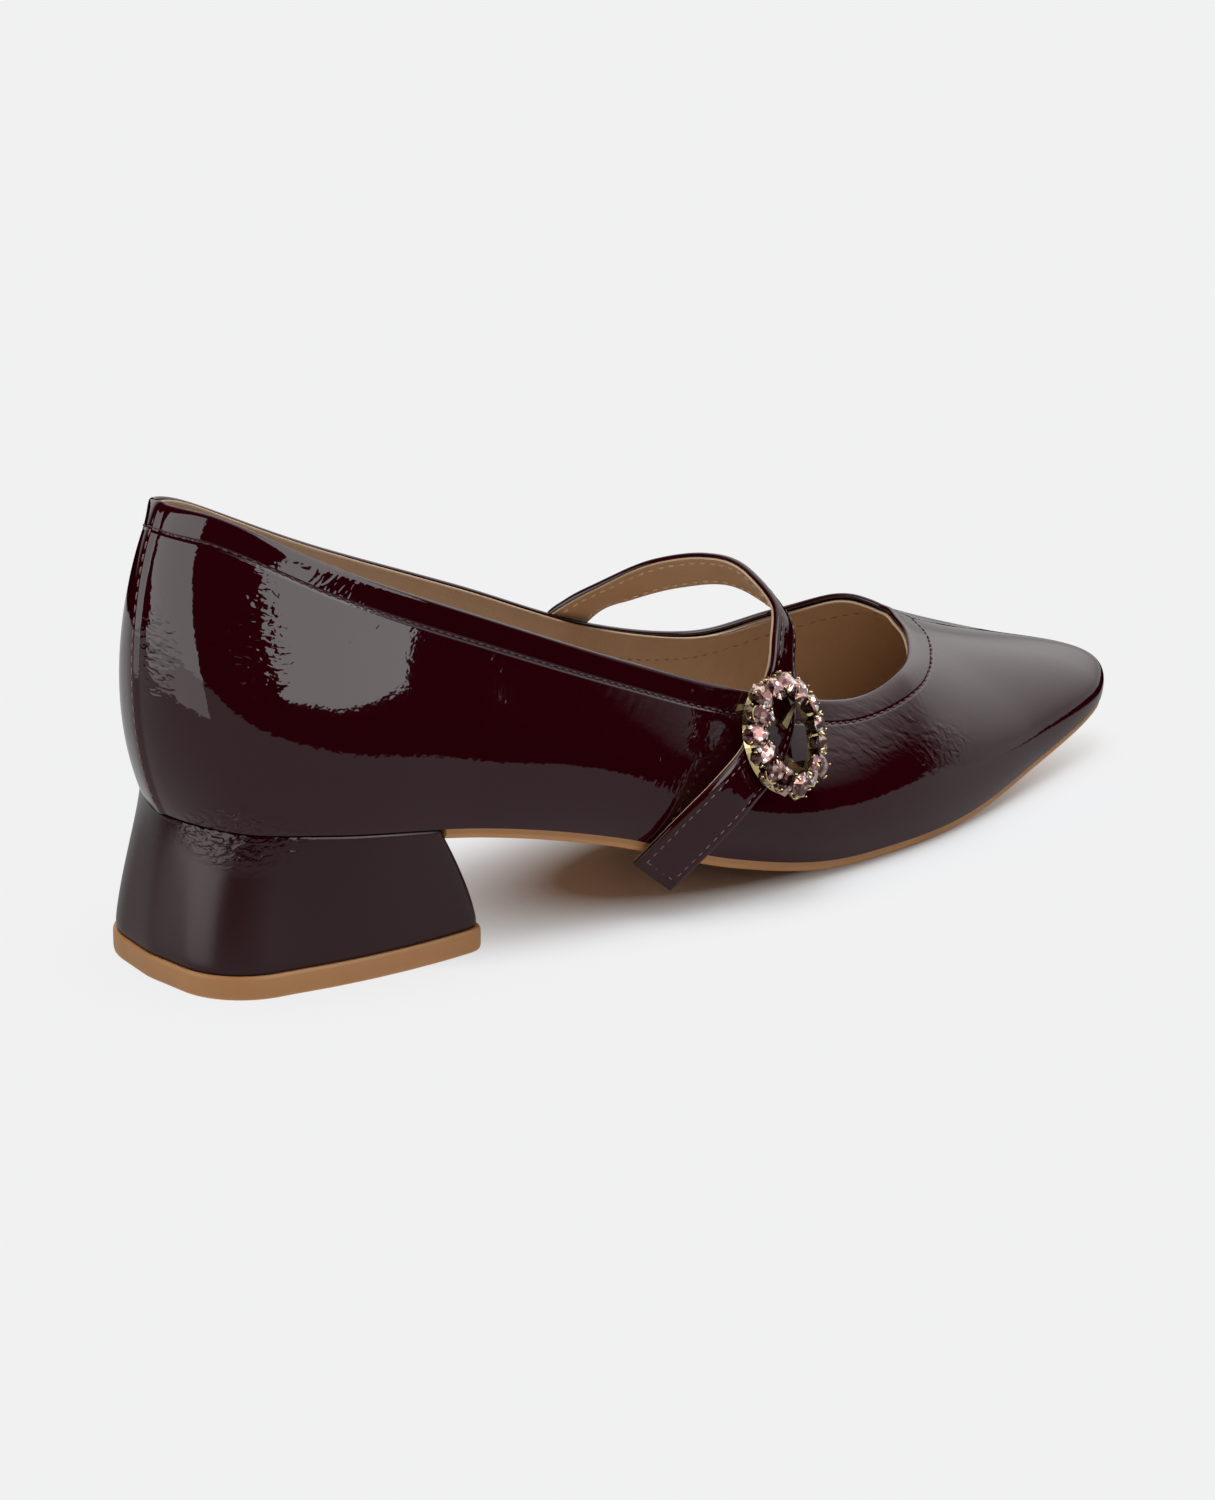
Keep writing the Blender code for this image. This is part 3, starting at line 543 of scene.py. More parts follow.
def noise(tree, place, scale, detail=2.0, distortion=0.0, dimensions="3D"):
    """Cloudy pattern from 0 to 1."""
    return add_node(tree, "TexNoise", {
        "Vector": place, "Scale": scale, "Detail": detail, "Distortion": distortion},
        noise_dimensions=dimensions).outputs["Fac"]


def stretched(tree, place, lengths, turn=0.0):
    """Place turned about the piece's X axis, and measured in the given lengths."""
    return add_node(tree, "Mapping", {
        "Vector": place, "Rotation": (turn, 0.0, 0.0), "Scale": lengths},
        vector_type="TEXTURE").outputs[0]


def relief_group(name, inputs):
    """Node group that puts out a height in metres, with what it is given and its end node."""
    group = bpy.data.node_groups.new(name, "ShaderNodeTree")
    for socket in inputs:
        group.interface.new_socket(socket, in_out="INPUT", socket_type="NodeSocketFloat")
    group.interface.new_socket("Relief", in_out="OUTPUT", socket_type="NodeSocketFloat")
    return group, group.nodes.new("NodeGroupInput").outputs, group.nodes.new("NodeGroupOutput")


def crease_group():
    """Height of the film: a faint crinkle all over, and the pressed creases."""
    group, given, leave = relief_group("patent creases", ["Crinkle"])
    place = own_place(group)
    total = work_out(group, "MULTIPLY", noise(group, place, CRINKLE_SCALE, 1.0), given["Crinkle"])
    for crease in CREASES:
        away = distance_from(group, place, Vector(crease.centre) * MM, Vector(crease.reach) * MM)
        fade = remap(group, away, (CREASE_CORE, 1.0), (crease.height * MM, 0.0), soft=True)
        size = Vector((crease.length, crease.length, crease.pitch)) * MM
        along = stretched(group, place, size, math.radians(crease.lean))
        ridges = noise(group, along, 1.0, 1.0, distortion=CREASE_WAVER)
        total = work_out(group, "MULTIPLY_ADD", ridges, fade, total)
    fill(group, leave, {"Relief": total})
    return group


# Gathers at the collar's stitches. Along the outer quarter they are slanted and low, and
# on the vamp they stand straight and at full height.
GATHER_SIZE = (1.5 * MM, 9.0 * MM, 1.0)
GATHER_SLANT = -0.8
SLANT_ENDS = (100.0 * MM, 130.0 * MM)  # places along the collar, from the back
LOW_GATHERS = 0.35                     # share of the full height
LOW_ENDS = (80.0 * MM, 120.0 * MM)
GROOVE_HALF = 0.7 * MM


def gather_group():
    """Height of the gathers and the groove at a stitch row, from the piece's own UV map."""
    group, given, leave = relief_group("sewn gathers", ["Reach", "Height", "Groove"])
    seam = add_node(group, "UVMap", uv_map="UVMap")
    parts = add_node(group, "SeparateXYZ", {0: seam.outputs["UV"]})
    along, above = parts.outputs["X"], parts.outputs["Y"]
    slant = remap(group, along, SLANT_ENDS, (GATHER_SLANT, 0.0), soft=True)
    leaned = add_node(group, "CombineXYZ", {
        "X": work_out(group, "MULTIPLY_ADD", above, slant, along), "Y": above})
    size = stretched(group, leaned.outputs[0], GATHER_SIZE)
    gathers = noise(group, size, 1.0, 1.0, dimensions="2D")
    full = remap(group, along, LOW_ENDS, (LOW_GATHERS, 1.0), soft=True)
    tall = work_out(group, "MULTIPLY", gathers, given["Height"])
    raised = work_out(group, "MULTIPLY", tall, full)
    away = work_out(group, "ABSOLUTE", above)
    fade = remap(group, away, (0.0, given["Reach"]), (1.0, 0.0), soft=True)
    faded = work_out(group, "MULTIPLY", raised, fade)
    pull = remap(group, away, (0.0, GROOVE_HALF), (-1.0, 0.0), soft=True)
    total = work_out(group, "MULTIPLY_ADD", pull, given["Groove"], faded)
    fill(group, leave, {"Relief": total})
    return group


creases = crease_group()
gathers = gather_group()
SEWN = {"Reach": 7.0 * MM, "Height": 0.06 * MM, "Groove": 0.16 * MM}


def relief(tree, height, strength=1.0, distance=1.0):
    """Normal of a bumpy surface; its height counts in units of the distance, in metres."""
    return add_node(tree, "Bump", {
        "Strength": strength, "Distance": distance, "Height": height}).outputs["Normal"]


def patent_material(name, crinkle_height, sewn=False):
    """Burgundy patent: dark leather under a clear mirror film."""
    made, tree, shader = new_material(name)
    height = add_node(tree, "Group", {"Crinkle": crinkle_height}, node_tree=creases).outputs[0]
    if sewn:
        gathered = add_node(tree, "Group", SEWN, node_tree=gathers).outputs[0]
        height = work_out(tree, "ADD", height, gathered)
    fill(tree, shader, {
        "Base Color": PATENT, "Roughness": PATENT_ROUGHNESS, "Normal": relief(tree, height)})
    return made


patent = patent_material("burgundy patent", 0.012 * MM, sewn=True)
upper = sheet("upper_patent", UPPER_COLUMNS, PATENT_ROWS, patent_place, patent,
              mark=patent_mark)
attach(upper, "root")
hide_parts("upper")

# Lining: tan leather glued inside the upper. Its skived top edge shows as a light line
# inside the patent fold, and a row of tan stitches holds it a little lower down.
LINING_RISE = 0.35       # the lining's edge below the collar's top
LINING_TUCK = 0.15       # how far it reaches under the patent fold
RIM_SHARE = 0.12         # share of its rows that go over the skived rim
RIM_STEPS = (0.5, 0.8)   # the rim dips below the fold, and rolls down to the wall
LINING_END = 1.5         # it runs down to this height above the seat, below the sock's top
LINING_BUNCHING = 1.2    # its rows are closer together near the rim
INSOLE_THICKNESS = 2.5
LINING_COLOURS = ((0.49, 0.33, 0.205, 1.0), (0.57, 0.405, 0.265, 1.0))


def lining_place(u, v):
    """From the patent's inner edge over the skived rim and down the wall to below the sock."""
    turn = spread_turns(u)
    rim = np.clip(v / RIM_SHARE, 0.0, 1.0)
    down = np.clip((v - RIM_SHARE) / (1.0 - RIM_SHARE), 0.0, 1.0)
    height = 1.0 - (1.0 - np.interp(turn, map_turns, lining_foot)) * down**LINING_BUNCHING
    point, outward, _, rising = skin_frame(turn, height)
    start = 2 * FOLD_RADIUS - LINING_TUCK
    into = start + (WALL - start) * np.sin(rim * np.pi / 2)
    dip = RIM_STEPS[0] * (1.0 - np.sin(rim * np.pi)) * (rim < 0.5)
    sink = LINING_RISE + dip + RIM_STEPS[1] * np.maximum(rim - 0.5, 0.0)
    sink = np.where(down < 1.0, sink, 0.0)
    return point - outward * into[:, None] - rising * sink[:, None]


heights_above = skin_map[:, :, 2] - seat_height(skin_map[:, :, 1])
lining_foot = np.array([np.interp(LINING_END, row, map_heights) for row in heights_above])

leather, tree, shader = new_material("tan lining leather")
place = own_place(tree)
pores = add_node(tree, "TexVoronoi", {"Vector": place, "Scale": 1400.0})
fill(tree, shader, {
    "Base Color": blend(tree, noise(tree, place, 160.0, 6.0), LINING_COLOURS),
    "Roughness": 0.5, "Normal": relief(tree, pores.outputs["Distance"], 0.35, 0.12 * MM)})
lining = sheet("lining", 420, 44, lining_place, leather)
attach(lining, "root")

# Sock: a tan leather sheet glued over the insole board, from the back of the seat to
# inside the toe. Its edges turn down a little and run in under the lining.
SOCK_INSET = WALL - 1.0
SOCK_ENDS = (0.002, 0.987)
SOCK_EDGE = (0.8, 30.0)  # how far its edges turn down, and how sharply


def sock_place(u, v):
    """Across the foot's bed from the inner wall to the outer wall, with softly turned edges."""
    share = SOCK_ENDS[0] + (SOCK_ENDS[1] - SOCK_ENDS[0]) * u
    outer, outward = foot_outline(OUTER_SIDE, share)
    inner, inward = foot_outline(INNER_SIDE, share)
    outer = outer - outward * SOCK_INSET
    inner = inner - inward * SOCK_INSET
    point = inner + (outer - inner) * v[:, None]
    down, sharpness = SOCK_EDGE
    down = down * np.exp(-(1.0 - np.abs(2.0 * v - 1.0)) * sharpness)
    point[:, 2] = seat_height(point[:, 1]) + INSOLE_THICKNESS - down
    return point


sock = sheet("sock", 180, 30, sock_place, leather)
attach(sock, "root")
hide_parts("insole")

# Stitches: waxed thread in three rows, below the collar, through the lining and up beside
# the back seam. Each stitch is a short plump bead half sunk in the leather.
STITCH_FLATNESS = 0.8
STEP = 0.3               # length that a stitch's direction is taken over
COLLAR_TURNS = (0.01, 1.99)  # the rows round the collar stop short of the back seam
COLLAR_ROW_LIFT = 0.05
LINING_ROW_DROP = 1.2    # the lining's row is this much lower than the collar's
LINING_ROW_LIFT = 0.02
SEAM_HEIGHTS = (0.985, 0.03)
SEAM_ROW_ASIDE = 0.7     # from the back seam, on its outer side
SEAM_ROW_LIFT = 0.5


def thread_material(name, dark, light):
    """Thread with a fine twist."""
    made, tree, shader = new_material(name)
    twist = noise(tree, own_place(tree), 2500.0)
    fill(tree, shader, {"Base Color": blend(tree, twist, (dark, light)), "Roughness": 0.55})
    return made


def stitch_row(name, points, facings, look, length, radius, pitch):
    """Beads of thread at even steps along a line of points, each lying on the surface."""
    travelled = length_along(points)

    def at(step, values):
        return Vector([np.interp(step, travelled, values[:, axis]) for axis in range(3)])

    body = bmesh.new()
    for step in np.arange(pitch / 2, travelled[-1], pitch):
        facing = at(step, facings).normalized()
        along = (at(step + STEP, points) - at(step - STEP, points)).normalized()
        aside = facing.cross(along).normalized()
        turn = Matrix((along, aside, facing)).transposed().to_4x4()
        size = Matrix.Diagonal((length / 2 * MM, radius * MM, radius * STITCH_FLATNESS * MM, 1.0))
        bmesh.ops.create_icosphere(
            body, subdivisions=1, radius=1.0,
            matrix=Matrix.Translation(at(step, points) * MM) @ turn @ size)
    return finish_mesh(name, body, look)


cream_thread = thread_material("cream thread", (0.90, 0.72, 0.50, 1.0), (1.0, 0.90, 0.70, 1.0))
# Lining thread: its colour is darkened to a deep tan, a painted shade for its place inside the
# shoe.
shade_dark_tan_thread = thread_material("tan thread", (0.20, 0.11, 0.055, 1.0), (0.34, 0.21, 0.12, 1.0))
wine_thread = thread_material("wine thread", (0.035, 0.004, 0.010, 1.0), (0.12, 0.02, 0.035, 1.0))
rose_thread = thread_material("rose thread", (0.20, 0.08, 0.08, 1.0), (0.36, 0.19, 0.18, 1.0))


def skin_line(turns, depths, lift):
    """Points and facings on the skin, at distances below the collar, lifted off the surface."""
    heights = np.array([height_at(turn, depth) for turn, depth in zip(turns, depths)])
    point, outward, _, _ = skin_frame(turns, heights)
    return point + outward * lift, outward


turns = np.linspace(*COLLAR_TURNS, 700)
line, facing = skin_line(turns, row_depth(turns), COLLAR_ROW_LIFT)
row = stitch_row("collar_stitches", line, facing, wine_thread,
                 length=1.6, radius=0.24, pitch=2.0)
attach(row, "root")
line, facing = skin_line(turns, row_depth(turns) + LINING_ROW_DROP, LINING_ROW_LIFT - WALL)
row = stitch_row("lining_stitches", line, -facing, shade_dark_tan_thread,
                 length=1.7, radius=0.2, pitch=2.6)
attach(row, "root")
heights = np.linspace(*SEAM_HEIGHTS, 120)
point, outward, forward, _ = skin_frame(np.zeros(120), heights)
line = point - forward * SEAM_ROW_ASIDE + outward * SEAM_ROW_LIFT
row = stitch_row("back_stitches", line, outward, rose_thread,
                 length=1.8, radius=0.22, pitch=2.5)
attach(row, "root")

# Outsole: thin tan leather from the heel's breast to the toe, cemented under the upper.
# Its edge is trimmed, rounded in to the tread and waxed.
BREAST_ALONG = 19.0
SOLE_START = BREAST_ALONG + 0.1
SOLE_BUNCHING = 0.08
SOLE_THICKNESS = 2.2
SOLE_GAP = 0.05
SOLE_INSET = 0.45
SOLE_TURN_IN = 0.9       # how far its edge rounds in to the tread
SOLE_EDGE = (0.25, 0.55)  # shares of its rows between which they go round the edge
SHARP = 50.0             # faces that meet at more degrees than this make an edge
TAN_COLOURS = ((0.44, 0.20, 0.07, 1.0), (0.57, 0.28, 0.11, 1.0))


def share_at(side, along):
    """Share whose lower edge lies at a place along the shoe."""
    shares = np.linspace(0.0, 1.0, 801)
    places = section_values(side, shares)["foot_y"]
    return float(np.interp(along, places, shares))


def sole_place(u, v):
    """Round the sole from outer waist to toe and back, and over its edge from top to tread."""
    outer = u <= 0.5
    reach = bunched(there_and_back(2.0 * u), SOLE_BUNCHING)
    lines = []
    for side in (OUTER_SIDE, INNER_SIDE):
        start = share_at(side, SOLE_START)
        lines.append(foot_outline(side, start + (1.0 - start) * reach))
    middle = (lines[0][0] + lines[1][0])[:, :2] / 2
    edge = np.where(outer[:, None], lines[0][0], lines[1][0])
    outward = np.where(outer[:, None], lines[0][1], lines[1][1])
    edge_start, edge_end = SOLE_EDGE
    round_edge = np.clip((v - edge_start) / (edge_end - edge_start), 0.0, 1.0)
    inset = SOLE_INSET + SOLE_TURN_IN * (1.0 - np.sin(round_edge * np.pi)) * round_edge
    flat = edge[:, :2] - outward[:, :2] * inset[:, None]
    to_middle = np.where(v < edge_start, 1.0 - v / edge_start,
                         np.clip((v - edge_end) / (1.0 - edge_end), 0.0, 1.0))
    flat = flat + (middle - flat) * to_middle[:, None]
    top = seat_height(flat[:, 1]) - SOLE_GAP
    low = np.maximum(top - SOLE_THICKNESS, 0.0)
    return np.column_stack([flat, top + (low - top) * round_edge])


tan_edge, tree, shader = new_material("tan sole leather")
place = own_place(tree)
fill(tree, shader, {
    "Base Color": blend(tree, noise(tree, place, 90.0, 5.0), TAN_COLOURS),
    "Roughness": 0.42, "Specular IOR Level": 0.30,
    "Normal": relief(tree, noise(tree, place, 1500.0), 0.25, 0.05 * MM)})
outsole = sheet("outsole_leather", 260, 20, sole_place, tan_edge, SHARP, cap=True)
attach(outsole, "root")
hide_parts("outsole")

# Heel: a wooden block covered in the same patent, flared on every side towards the floor,
# with its front corners softly rounded. The cover's top edge is turned in under the seat.
LIFT_HALF_BACK = 25.8
LIFT_HALF_FRONT = 27.2
LIFT_LENGTH = 63.0
LIFT_THICKNESS = 4.8
LIFT_CORNER = 16.0
LIFT_BACK_ROUND = 1.0
LIFT_SIDE_SWELL = 1.9
LIFT_FRONT_CHAMFER = (2.4, 0.6)
HEEL_INSET = 0.5         # the cover stands in from the lift's edge
HEEL_FLARE = 1.35
HEEL_FOOT = LIFT_THICKNESS + 0.05
HEEL_TURN_IN = 0.9
HEEL_HEM = (0.35, 40.0)  # how far its lower edge draws in, and how sharply
HEEL_SIDES = 0.9         # share of the cover's rows below the turned-in edge
HEEL_GAP = 0.1           # between the cover's top and the seat
SEAT_INSET = 0.2         # the cover's top stands in from the upper's edge
BREAST_CORNER = 0.95     # share of its width left at the corners of the breast


def resample(points, count):
    """Points at even distances along a line of points."""
    points = np.asarray(points, float)
    travelled = length_along(points)
    wanted = np.linspace(0.0, travelled[-1], count)
    return np.stack([np.interp(wanted, travelled, column) for column in points.T], 1)


def lift_edge(turn, inset):
    """One side of the heel's footprint, from the centre of the back to the front corner."""
    half_back = LIFT_HALF_BACK - inset
    half_front = LIFT_HALF_FRONT - inset
    back = -LIFT_LENGTH / 2 + inset
    front = LIFT_LENGTH / 2 - inset
    radius = LIFT_CORNER - inset
    line = [(0.0, back)]
    for angle in np.radians(np.linspace(-90.0, 0.0, 9)):
        line.append((half_back - radius + radius * math.cos(angle),
                     back + LIFT_BACK_ROUND + radius + radius * math.sin(angle)))
    start = line[-1]
    for t in np.linspace(0.2, 0.94, 5):
        swell = 4 * LIFT_SIDE_SWELL * t * (1 - t)
        line.append((start[0] + (half_front - start[0]) * t + swell,
                     start[1] + (front - start[1]) * t))
    wide, narrow = LIFT_FRONT_CHAMFER
    line.append((half_front - narrow, front - narrow))
    line.append((half_front - wide, front))
    return np.array([(x * turn, y) for x, y in line])


def closed_ring(outer, inner, side_count, breast_count, soften):
    """Ring of points: outer side back to front, across the breast, inner side front to back."""
    outer = resample(outer, side_count)
    inner = resample(inner, side_count)
    across = resample([outer[-1], inner[-1]], breast_count)
    ring = np.vstack([outer[:-1], across, inner[::-1][1:]])
    for _ in range(soften):
        before = np.roll(ring[:-1], 1, axis=0)
        after = np.roll(ring[:-1], -1, axis=0)
        ring[:-1] = (before + 2 * ring[:-1] + after) / 4
        ring[-1] = ring[0]
    return ring


def on_ring(ring, u, inset):
    """Points on a ring moved inward by an inset."""
    place = u * (len(ring) - 1)
    low = np.minimum(place.astype(int), len(ring) - 2)
    part = (place - low)[:, None]
    point = ring[low] * (1 - part) + ring[low + 1] * part
    run = np.roll(ring[:-1], -1, axis=0) - np.roll(ring[:-1], 1, axis=0)
    run = np.vstack([run, run[:1]])
    run = unit(run[low] * (1 - part) + run[low + 1] * part)
    return point - np.stack([run[:, 1], -run[:, 0]], 1) * inset[:, None]


HEEL_RING = {"side_count": 120, "breast_count": 81, "soften": 8}
heel_bottom = closed_ring(lift_edge(1, HEEL_INSET), lift_edge(-1, HEEL_INSET), **HEEL_RING)
heel_tops = []
for side in (OUTER_SIDE, INNER_SIDE):
    shares = np.linspace(0.0, share_at(side, BREAST_ALONG), 80)
    points, outward = foot_outline(side, shares)
    edge = (points - outward * SEAT_INSET)[:, :2]
    edge[-1, 0] *= BREAST_CORNER
    heel_tops.append(edge)
heel_top = closed_ring(*heel_tops, **HEEL_RING)


def heel_place(u, v):
    """Round the heel, and up from the lift to the turned-in top edge."""
    level = np.clip(v / HEEL_SIDES, 0.0, 1.0)
    rolled = np.clip((v - HEEL_SIDES) / (1.0 - HEEL_SIDES), 0.0, 1.0) * np.pi / 2
    spread = (level ** HEEL_FLARE)[:, None]
    inset = HEEL_TURN_IN * (1.0 - np.cos(rolled)) + HEEL_HEM[0] * np.exp(-level * HEEL_HEM[1])
    low = on_ring(heel_bottom, u, inset)
    high = on_ring(heel_top, u, inset)
    flat = low + (high - low) * spread
    top = seat_height(high[:, 1]) - HEEL_GAP - HEEL_TURN_IN
    rise = HEEL_FOOT + (top - HEEL_FOOT) * level + HEEL_TURN_IN * np.sin(rolled)
    return np.column_stack([flat, rise])


# Its finish is dulled near the floor and glossy at the top.
DULL_HEIGHTS = (26.0 * MM, 38.0 * MM)
DULL_ROUGHNESS = (0.30, 0.05)
heel_patent = patent_material("burgundy patent heel", 0.01 * MM)
tree = heel_patent.node_tree
height = add_node(tree, "SeparateXYZ", {0: own_place(tree)}).outputs["Z"]
fill(tree, tree.nodes["Principled BSDF"], {
    "Roughness": remap(tree, height, DULL_HEIGHTS, DULL_ROUGHNESS), "Specular IOR Level": 0.40})
heel = sheet("heel_cover", 320, 60, heel_place, heel_patent, 60.0, cap=True)
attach(heel, "root")
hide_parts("heel")

# Top lift: the tan wearing layer fixed under the heel, a little proud of its cover. It is
# flat above and below, with slightly rounded edges.
LIFT_FOOT = (0.45, 14.0)  # how far its lower edge draws in, and how sharply
LIFT_TOP = (0.3, 18.0)
lift_ring = closed_ring(lift_edge(1, 0.0), lift_edge(-1, 0.0),
                        side_count=100, breast_count=61, soften=4)


def lift_place(u, v):
    """Round the lift, and up from the floor over its slightly rounded edges."""
    inset = LIFT_FOOT[0] * np.exp(-v * LIFT_FOOT[1])
    inset = inset + LIFT_TOP[0] * np.exp(-(1.0 - v) * LIFT_TOP[1])
    flat = on_ring(lift_ring, u, inset)
    return np.column_stack([flat, LIFT_THICKNESS * v])


lift = sheet("top_lift_layer", 260, 14, lift_place, tan_edge, SHARP, cap=True)
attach(lift, "root")
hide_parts("top_lift")

# Strap: two layers, patent folded round both edges above and tan lining below. It is sewn
# to the inner quarter, crosses the instep and leaves the buckle in a free squared end.
# Its path: each row is a name, a point on its middle line, and the way it faces.
STRAP_PATH = [
    ("sewn end", -33.8, 90.0, 30.0, -1.0, 0.0, 0.0),
    ("inner quarter", -33.9, 93.0, 37.5, -1.0, 0.0, 0.1),
    ("inner collar", -33.2, 95.3, 43.2, -0.88, 0.1, 0.4),
    ("inner rise", -30.0, 97.3, 46.8, -0.55, 0.18, 0.72),
    ("inner shoulder", -21.5, 100.5, 51.8, -0.36, 0.28, 0.67),
    ("inner crown", -9.5, 105.0, 57.5, -0.16, 0.46, 0.6),
    ("crown", 3.5, 109.0, 60.5, 0.07, 0.55, 0.55),
    ("outer crown", 15.0, 109.5, 59.5, 0.31, 0.64, 0.44),
    ("outer shoulder", 23.0, 110.0, 54.5, 0.51, 0.63, 0.41),
    ("outer rise", 27.0, 107.0, 48.5, 0.64, 0.56, 0.37),
    ("outer collar", 29.7, 104.3, 41.9, 0.76, 0.38, 0.34),
    ("buckle", 33.2, 100.3, 36.4, 0.8, 0.21, 0.28),
    ("behind buckle", 37.2, 93.3, 30.8, 0.84, 0.03, 0.14),
    ("tail", 40.5, 83.7, 25.9, 0.85, -0.12, 0.02),
    ("low tail", 38.0, 75.3, 17.9, 0.82, -0.27, -0.03),
    ("free end", 32.5, 69.0, 9.0, 0.8, -0.26, -0.08),
]
STRAP_COLUMNS = 300
STRAP_STEP = 0.2         # length that the strap's direction is taken over
STRAP_ROW_ASIDE = 3.7    # a stitch row runs on either side of the strap's middle
STRAP_ROW_END = 0.985    # share of the strap's length at which the rows end
ROW_ABOVE, END_ROW_ABOVE = 0.95, 0.98  # levels of the rows above the strap's middle
ROW_BELOW = 1.02
# Half profiles of the two layers: across from the middle, and level above the middle.
PATENT_PROFILE = [(0.0, -0.35), (4.6, -0.35), (5.3, -0.42), (5.5, -0.1), (5.42, 0.45),
                  (5.1, 0.8), (4.5, 0.95), (3.7, 0.9), (2.8, 1.02), (0.0, 1.08)]
LINING_PROFILE = [(0.0, -0.95), (4.4, -0.95), (5.2, -0.9), (5.42, -0.7), (5.35, -0.46),
                  (4.8, -0.4), (0.0, -0.4)]


def strap_frames(u):
    """Points on the strap's middle line with its across and facing directions."""
    rows = np.array([row[1:] for row in STRAP_PATH], float)
    knots = length_along(rows[:, :3])

    def middle_at(at):
        return np.stack([smooth(knots, rows[:, column], at) for column in range(3)], 1)

    at = u * knots[-1]
    middle = middle_at(at)
    ahead = middle_at(np.minimum(at + STRAP_STEP, knots[-1]))
    along = unit(ahead - middle_at(np.maximum(at - STRAP_STEP, 0.0)))
    facing = np.stack([smooth(knots, rows[:, column], at) for column in range(3, 6)], 1)
    across = unit(np.cross(along, facing))
    return middle, across, np.cross(across, along)


def band_place(profile):
    """Place function for a closed tube with this half profile, mirrored, along the strap."""
    half = np.array(profile)
    ring = np.vstack([half, (half * [-1.0, 1.0])[::-1]])
    ring = resample(np.vstack([ring, ring[:1]]), 200)

    def place(u, v):
        middle, across, facing = strap_frames(u)
        step = v * (len(ring) - 1)
        x, z = (np.interp(step, np.arange(len(ring)), column)[:, None] for column in ring.T)
        return middle + across * x + facing * z
    return place


strap_patent = patent_material("burgundy patent strap", 0.02 * MM)
strap = sheet("strap_patent", STRAP_COLUMNS, 48, band_place(PATENT_PROFILE), strap_patent,
              SHARP, cap=True)
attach(strap, "root")
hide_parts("strap")
strap_lining = sheet("strap_lining", STRAP_COLUMNS, 30, band_place(LINING_PROFILE), leather,
                     SHARP, cap=True)
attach(strap_lining, "root")

middle, across, facing = strap_frames(np.linspace(0.0, STRAP_ROW_END, 400))
for name, side in (("left", -1.0), ("right", 1.0)):
    line = middle + across * side * STRAP_ROW_ASIDE
    row = stitch_row("strap_stitches_" + name, line + facing * ROW_ABOVE, facing, rose_thread,
                     length=1.4, radius=0.13, pitch=2.1)
    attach(row, "root")
    row = stitch_row("strap_lining_stitches_" + name, line - facing * ROW_BELOW, -facing,
                     cream_thread, length=1.7, radius=0.3, pitch=2.7)
    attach(row, "root")
ends = np.linspace(-STRAP_ROW_ASIDE, STRAP_ROW_ASIDE, 20)[:, None]
line = middle[-1] + across[-1] * ends + facing[-1] * END_ROW_ABOVE
row = stitch_row("strap_end_stitches", line, np.repeat(facing[-1:], 20, axis=0), rose_thread,
                 length=1.3, radius=0.13, pitch=1.9)
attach(row, "root")

# Buckle: gold-plated cast oval with its bar and prong, which keep their CAD shapes, and a
# leather tab that holds the bar to the quarter. Its gold is painted dark for mirror rays, a
# painted shade that dims its reflection in the patent.
GOLD_PAINTED_DARK_IN_GLOSS = (0.06, 0.03, 0.02, 1.0)
GOLD_COLOURS = ((0.83, 0.62, 0.28, 1.0), (0.95, 0.80, 0.47, 1.0))
GOLD_ROUGHNESS = (0.12, 0.30)
gold, tree, shader = new_material("gold plate")
cast = noise(tree, own_place(tree), 600.0, 3.0)
mirrored = add_node(tree, "LightPath").outputs["Is Glossy Ray"]
fill(tree, shader, {
    # Painted shade: seen in the patent's mirror, the gold takes a dark colour.
    "Base Color": blend(tree, mirrored, (blend(tree, cast, GOLD_COLOURS), GOLD_PAINTED_DARK_IN_GLOSS)),
    "Metallic": 1.0, "Roughness": remap(tree, cast, (0.0, 1.0), GOLD_ROUGHNESS),
    "Normal": relief(tree, cast, 0.3, 0.06 * MM)})
for name, look in (("buckle_frame", gold), ("buckle_bar", gold), ("buckle_prong", gold),
                   ("buckle_tab", strap_patent)):
    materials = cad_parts[name].data.materials
    materials.clear()
    materials.append(look)

# Rim stones: foil-backed rose crystals, each cut with a flat table and two rings of
# facets, and held in its cup by four bent claws.
BUCKLE_OUTWARD = (0.91, 0.25, 0.34)
STONE_SIDES = 8
STONE_RADIUS = 2.45
STONE_STRETCH = 1.3      # the stones are longer across the rim than along it
STONE_LEAN = 0.5         # how far a stone leans away from the rim's middle
LEAN_SWING = 0.3         # how much that differs from stone to stone
LEAN_STEP = 2.3          # radians that the swing and the turn go on by at each stone
TURN_STEP = 0.9
STONE_LIFT = 0.25        # above the middle of its cup
STONE_SHIFT = 0.15       # towards the rim's middle
TABLE_SHARE = 0.52
CROWN_HEIGHT = 1.15
PAVILION_DEPTH = 0.9     # the pointed part below the crown
PAVILION_SHARE = 0.45
CLAWS = 4
CLAW_SIZE = (0.24, 0.24, 0.8)
CLAW_REACH = 0.97        # share of the stone's radius
CLAW_BEND = -0.5         # inwards over the stone
# The tones go cell by cell over the facets: dark to pale rose, and a near-white tone that is a
# painted glint.
CRYSTAL_TONES_AND_GLINT = [        # where each begins, and its colour
    (0.0, (0.075, 0.016, 0.016, 1.0)),
    (0.42, (0.27, 0.115, 0.10, 1.0)),
    (0.70, (0.52, 0.33, 0.28, 1.0)),
    (0.89, (1.0, 0.92, 0.86, 1.0)),
]

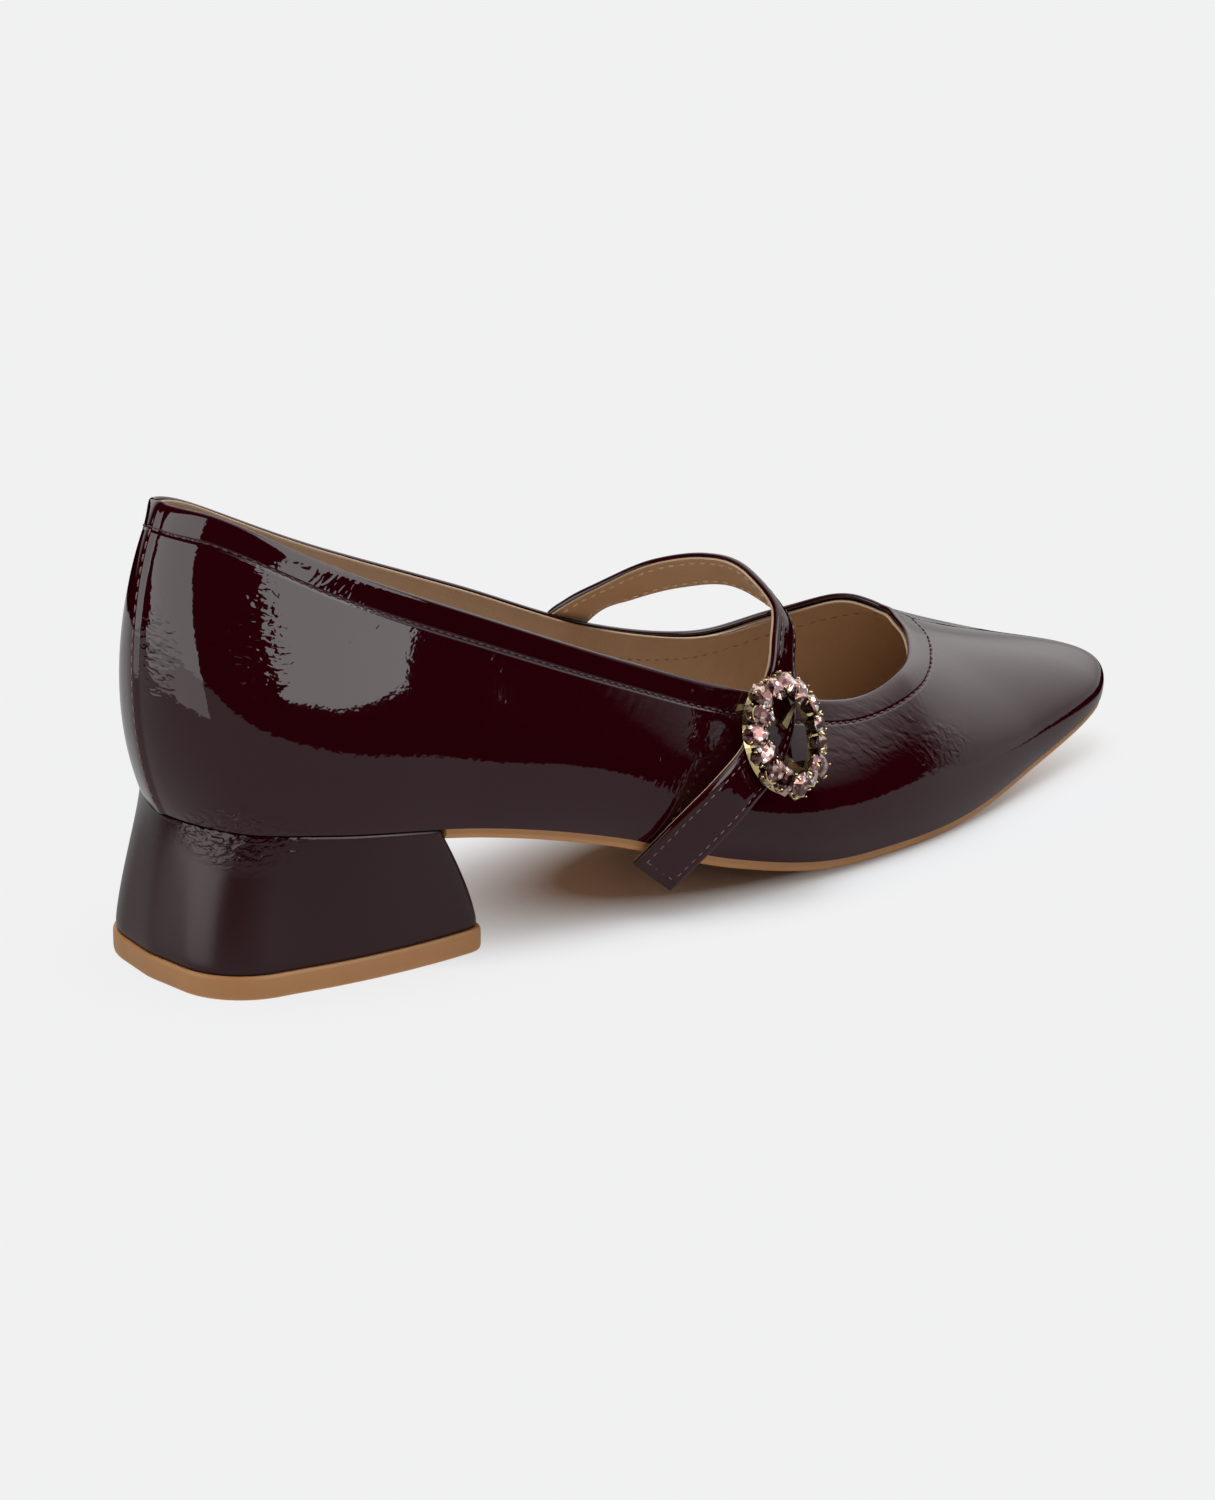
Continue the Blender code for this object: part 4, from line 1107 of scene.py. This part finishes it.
crystal, tree, shader = new_material("rose crystal")
cuts = add_node(tree, "TexVoronoi", {"Vector": own_place(tree), "Scale": 1100.0})
parts = add_node(tree, "SeparateColor", {0: cuts.outputs["Color"]})
tones_and_glint = add_node(tree, "ValToRGB", {"Fac": parts.outputs["Red"]})
ramp = tones_and_glint.color_ramp
ramp.interpolation = "CONSTANT"
ramp.elements.remove(ramp.elements[1])
ramp.elements[0].color = CRYSTAL_TONES_AND_GLINT[0][1]
for at, colour in CRYSTAL_TONES_AND_GLINT[1:]:
    ramp.elements.new(at).color = colour
fill(tree, shader, {
    "Base Color": tones_and_glint.outputs["Color"], "Metallic": 0.75, "Roughness": 0.06,
    "Coat Weight": 1.0, "Coat Roughness": 0.02})

outward = Vector(BUCKLE_OUTWARD).normalized()
stone_names = sorted(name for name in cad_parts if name.startswith("rim_stone"))
middles = [(Vector(low) + Vector(high)) / 2 for low, high in map(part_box, stone_names)]
centre = sum(middles, Vector()) / len(middles)
claws = bmesh.new()
for number, (name, middle) in enumerate(zip(stone_names, middles)):
    away = (middle - centre).normalized()
    lean = STONE_LEAN + LEAN_SWING * math.sin(number * LEAN_STEP)
    axis = (outward + away * lean).normalized()
    aside = axis.cross(away).normalized()
    turn = Matrix((aside.cross(axis), aside, axis)).transposed().to_4x4()
    stretch = Matrix.Diagonal((STONE_STRETCH, 1.0, 1.0, 1.0))
    spin = stretch @ Matrix.Rotation(number * TURN_STEP, 4, "Z")
    body = bmesh.new()
    bmesh.ops.create_cone(body, cap_ends=True, segments=STONE_SIDES, depth=CROWN_HEIGHT * MM,
                          radius1=STONE_RADIUS * MM, radius2=STONE_RADIUS * TABLE_SHARE * MM)
    crown = [corner for corner in body.verts if corner.co.z > 0.0]
    bmesh.ops.rotate(body, verts=crown, matrix=Matrix.Rotation(math.pi / STONE_SIDES, 3, "Z"))
    base = [face for face in body.faces if face.normal.z < -0.9]
    below = bmesh.ops.extrude_face_region(body, geom=base)["geom"]
    point = [corner for corner in below if isinstance(corner, bmesh.types.BMVert)]
    bmesh.ops.translate(body, verts=point, vec=(0.0, 0.0, -PAVILION_DEPTH * MM))
    bmesh.ops.scale(body, verts=point, vec=(PAVILION_SHARE, PAVILION_SHARE, 1.0))
    bmesh.ops.delete(body, geom=base, context="FACES_ONLY")
    bmesh.ops.triangulate(body, faces=[face for face in body.faces if len(face.verts) == 4])
    bmesh.ops.recalc_face_normals(body, faces=body.faces)
    lifted = Matrix.Translation(middle + (axis * STONE_LIFT - away * STONE_SHIFT) * MM)
    bmesh.ops.transform(body, matrix=lifted @ turn @ spin, verts=body.verts)
    stone = finish_mesh("crystal_" + name[-2:], body, crystal, flat=True)
    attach(stone, "root")
    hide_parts(name)
    for claw in range(CLAWS):
        angle = 2 * math.pi * (claw + 0.5) / CLAWS
        reach = STONE_RADIUS * CLAW_REACH * MM
        at = (reach * STONE_STRETCH * math.cos(angle), reach * math.sin(angle), 0.0)
        bent = Matrix.Rotation(angle, 4, "Z") @ Matrix.Rotation(CLAW_BEND, 4, "Y")
        size = Matrix.Diagonal(Vector(CLAW_SIZE) * MM).to_4x4()
        bmesh.ops.create_icosphere(
            claws, subdivisions=1, radius=1.0,
            matrix=lifted @ turn @ Matrix.Translation(at) @ bent @ size)
claw_set = finish_mesh("stone_claws", claws, gold)
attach(claw_set, "root")
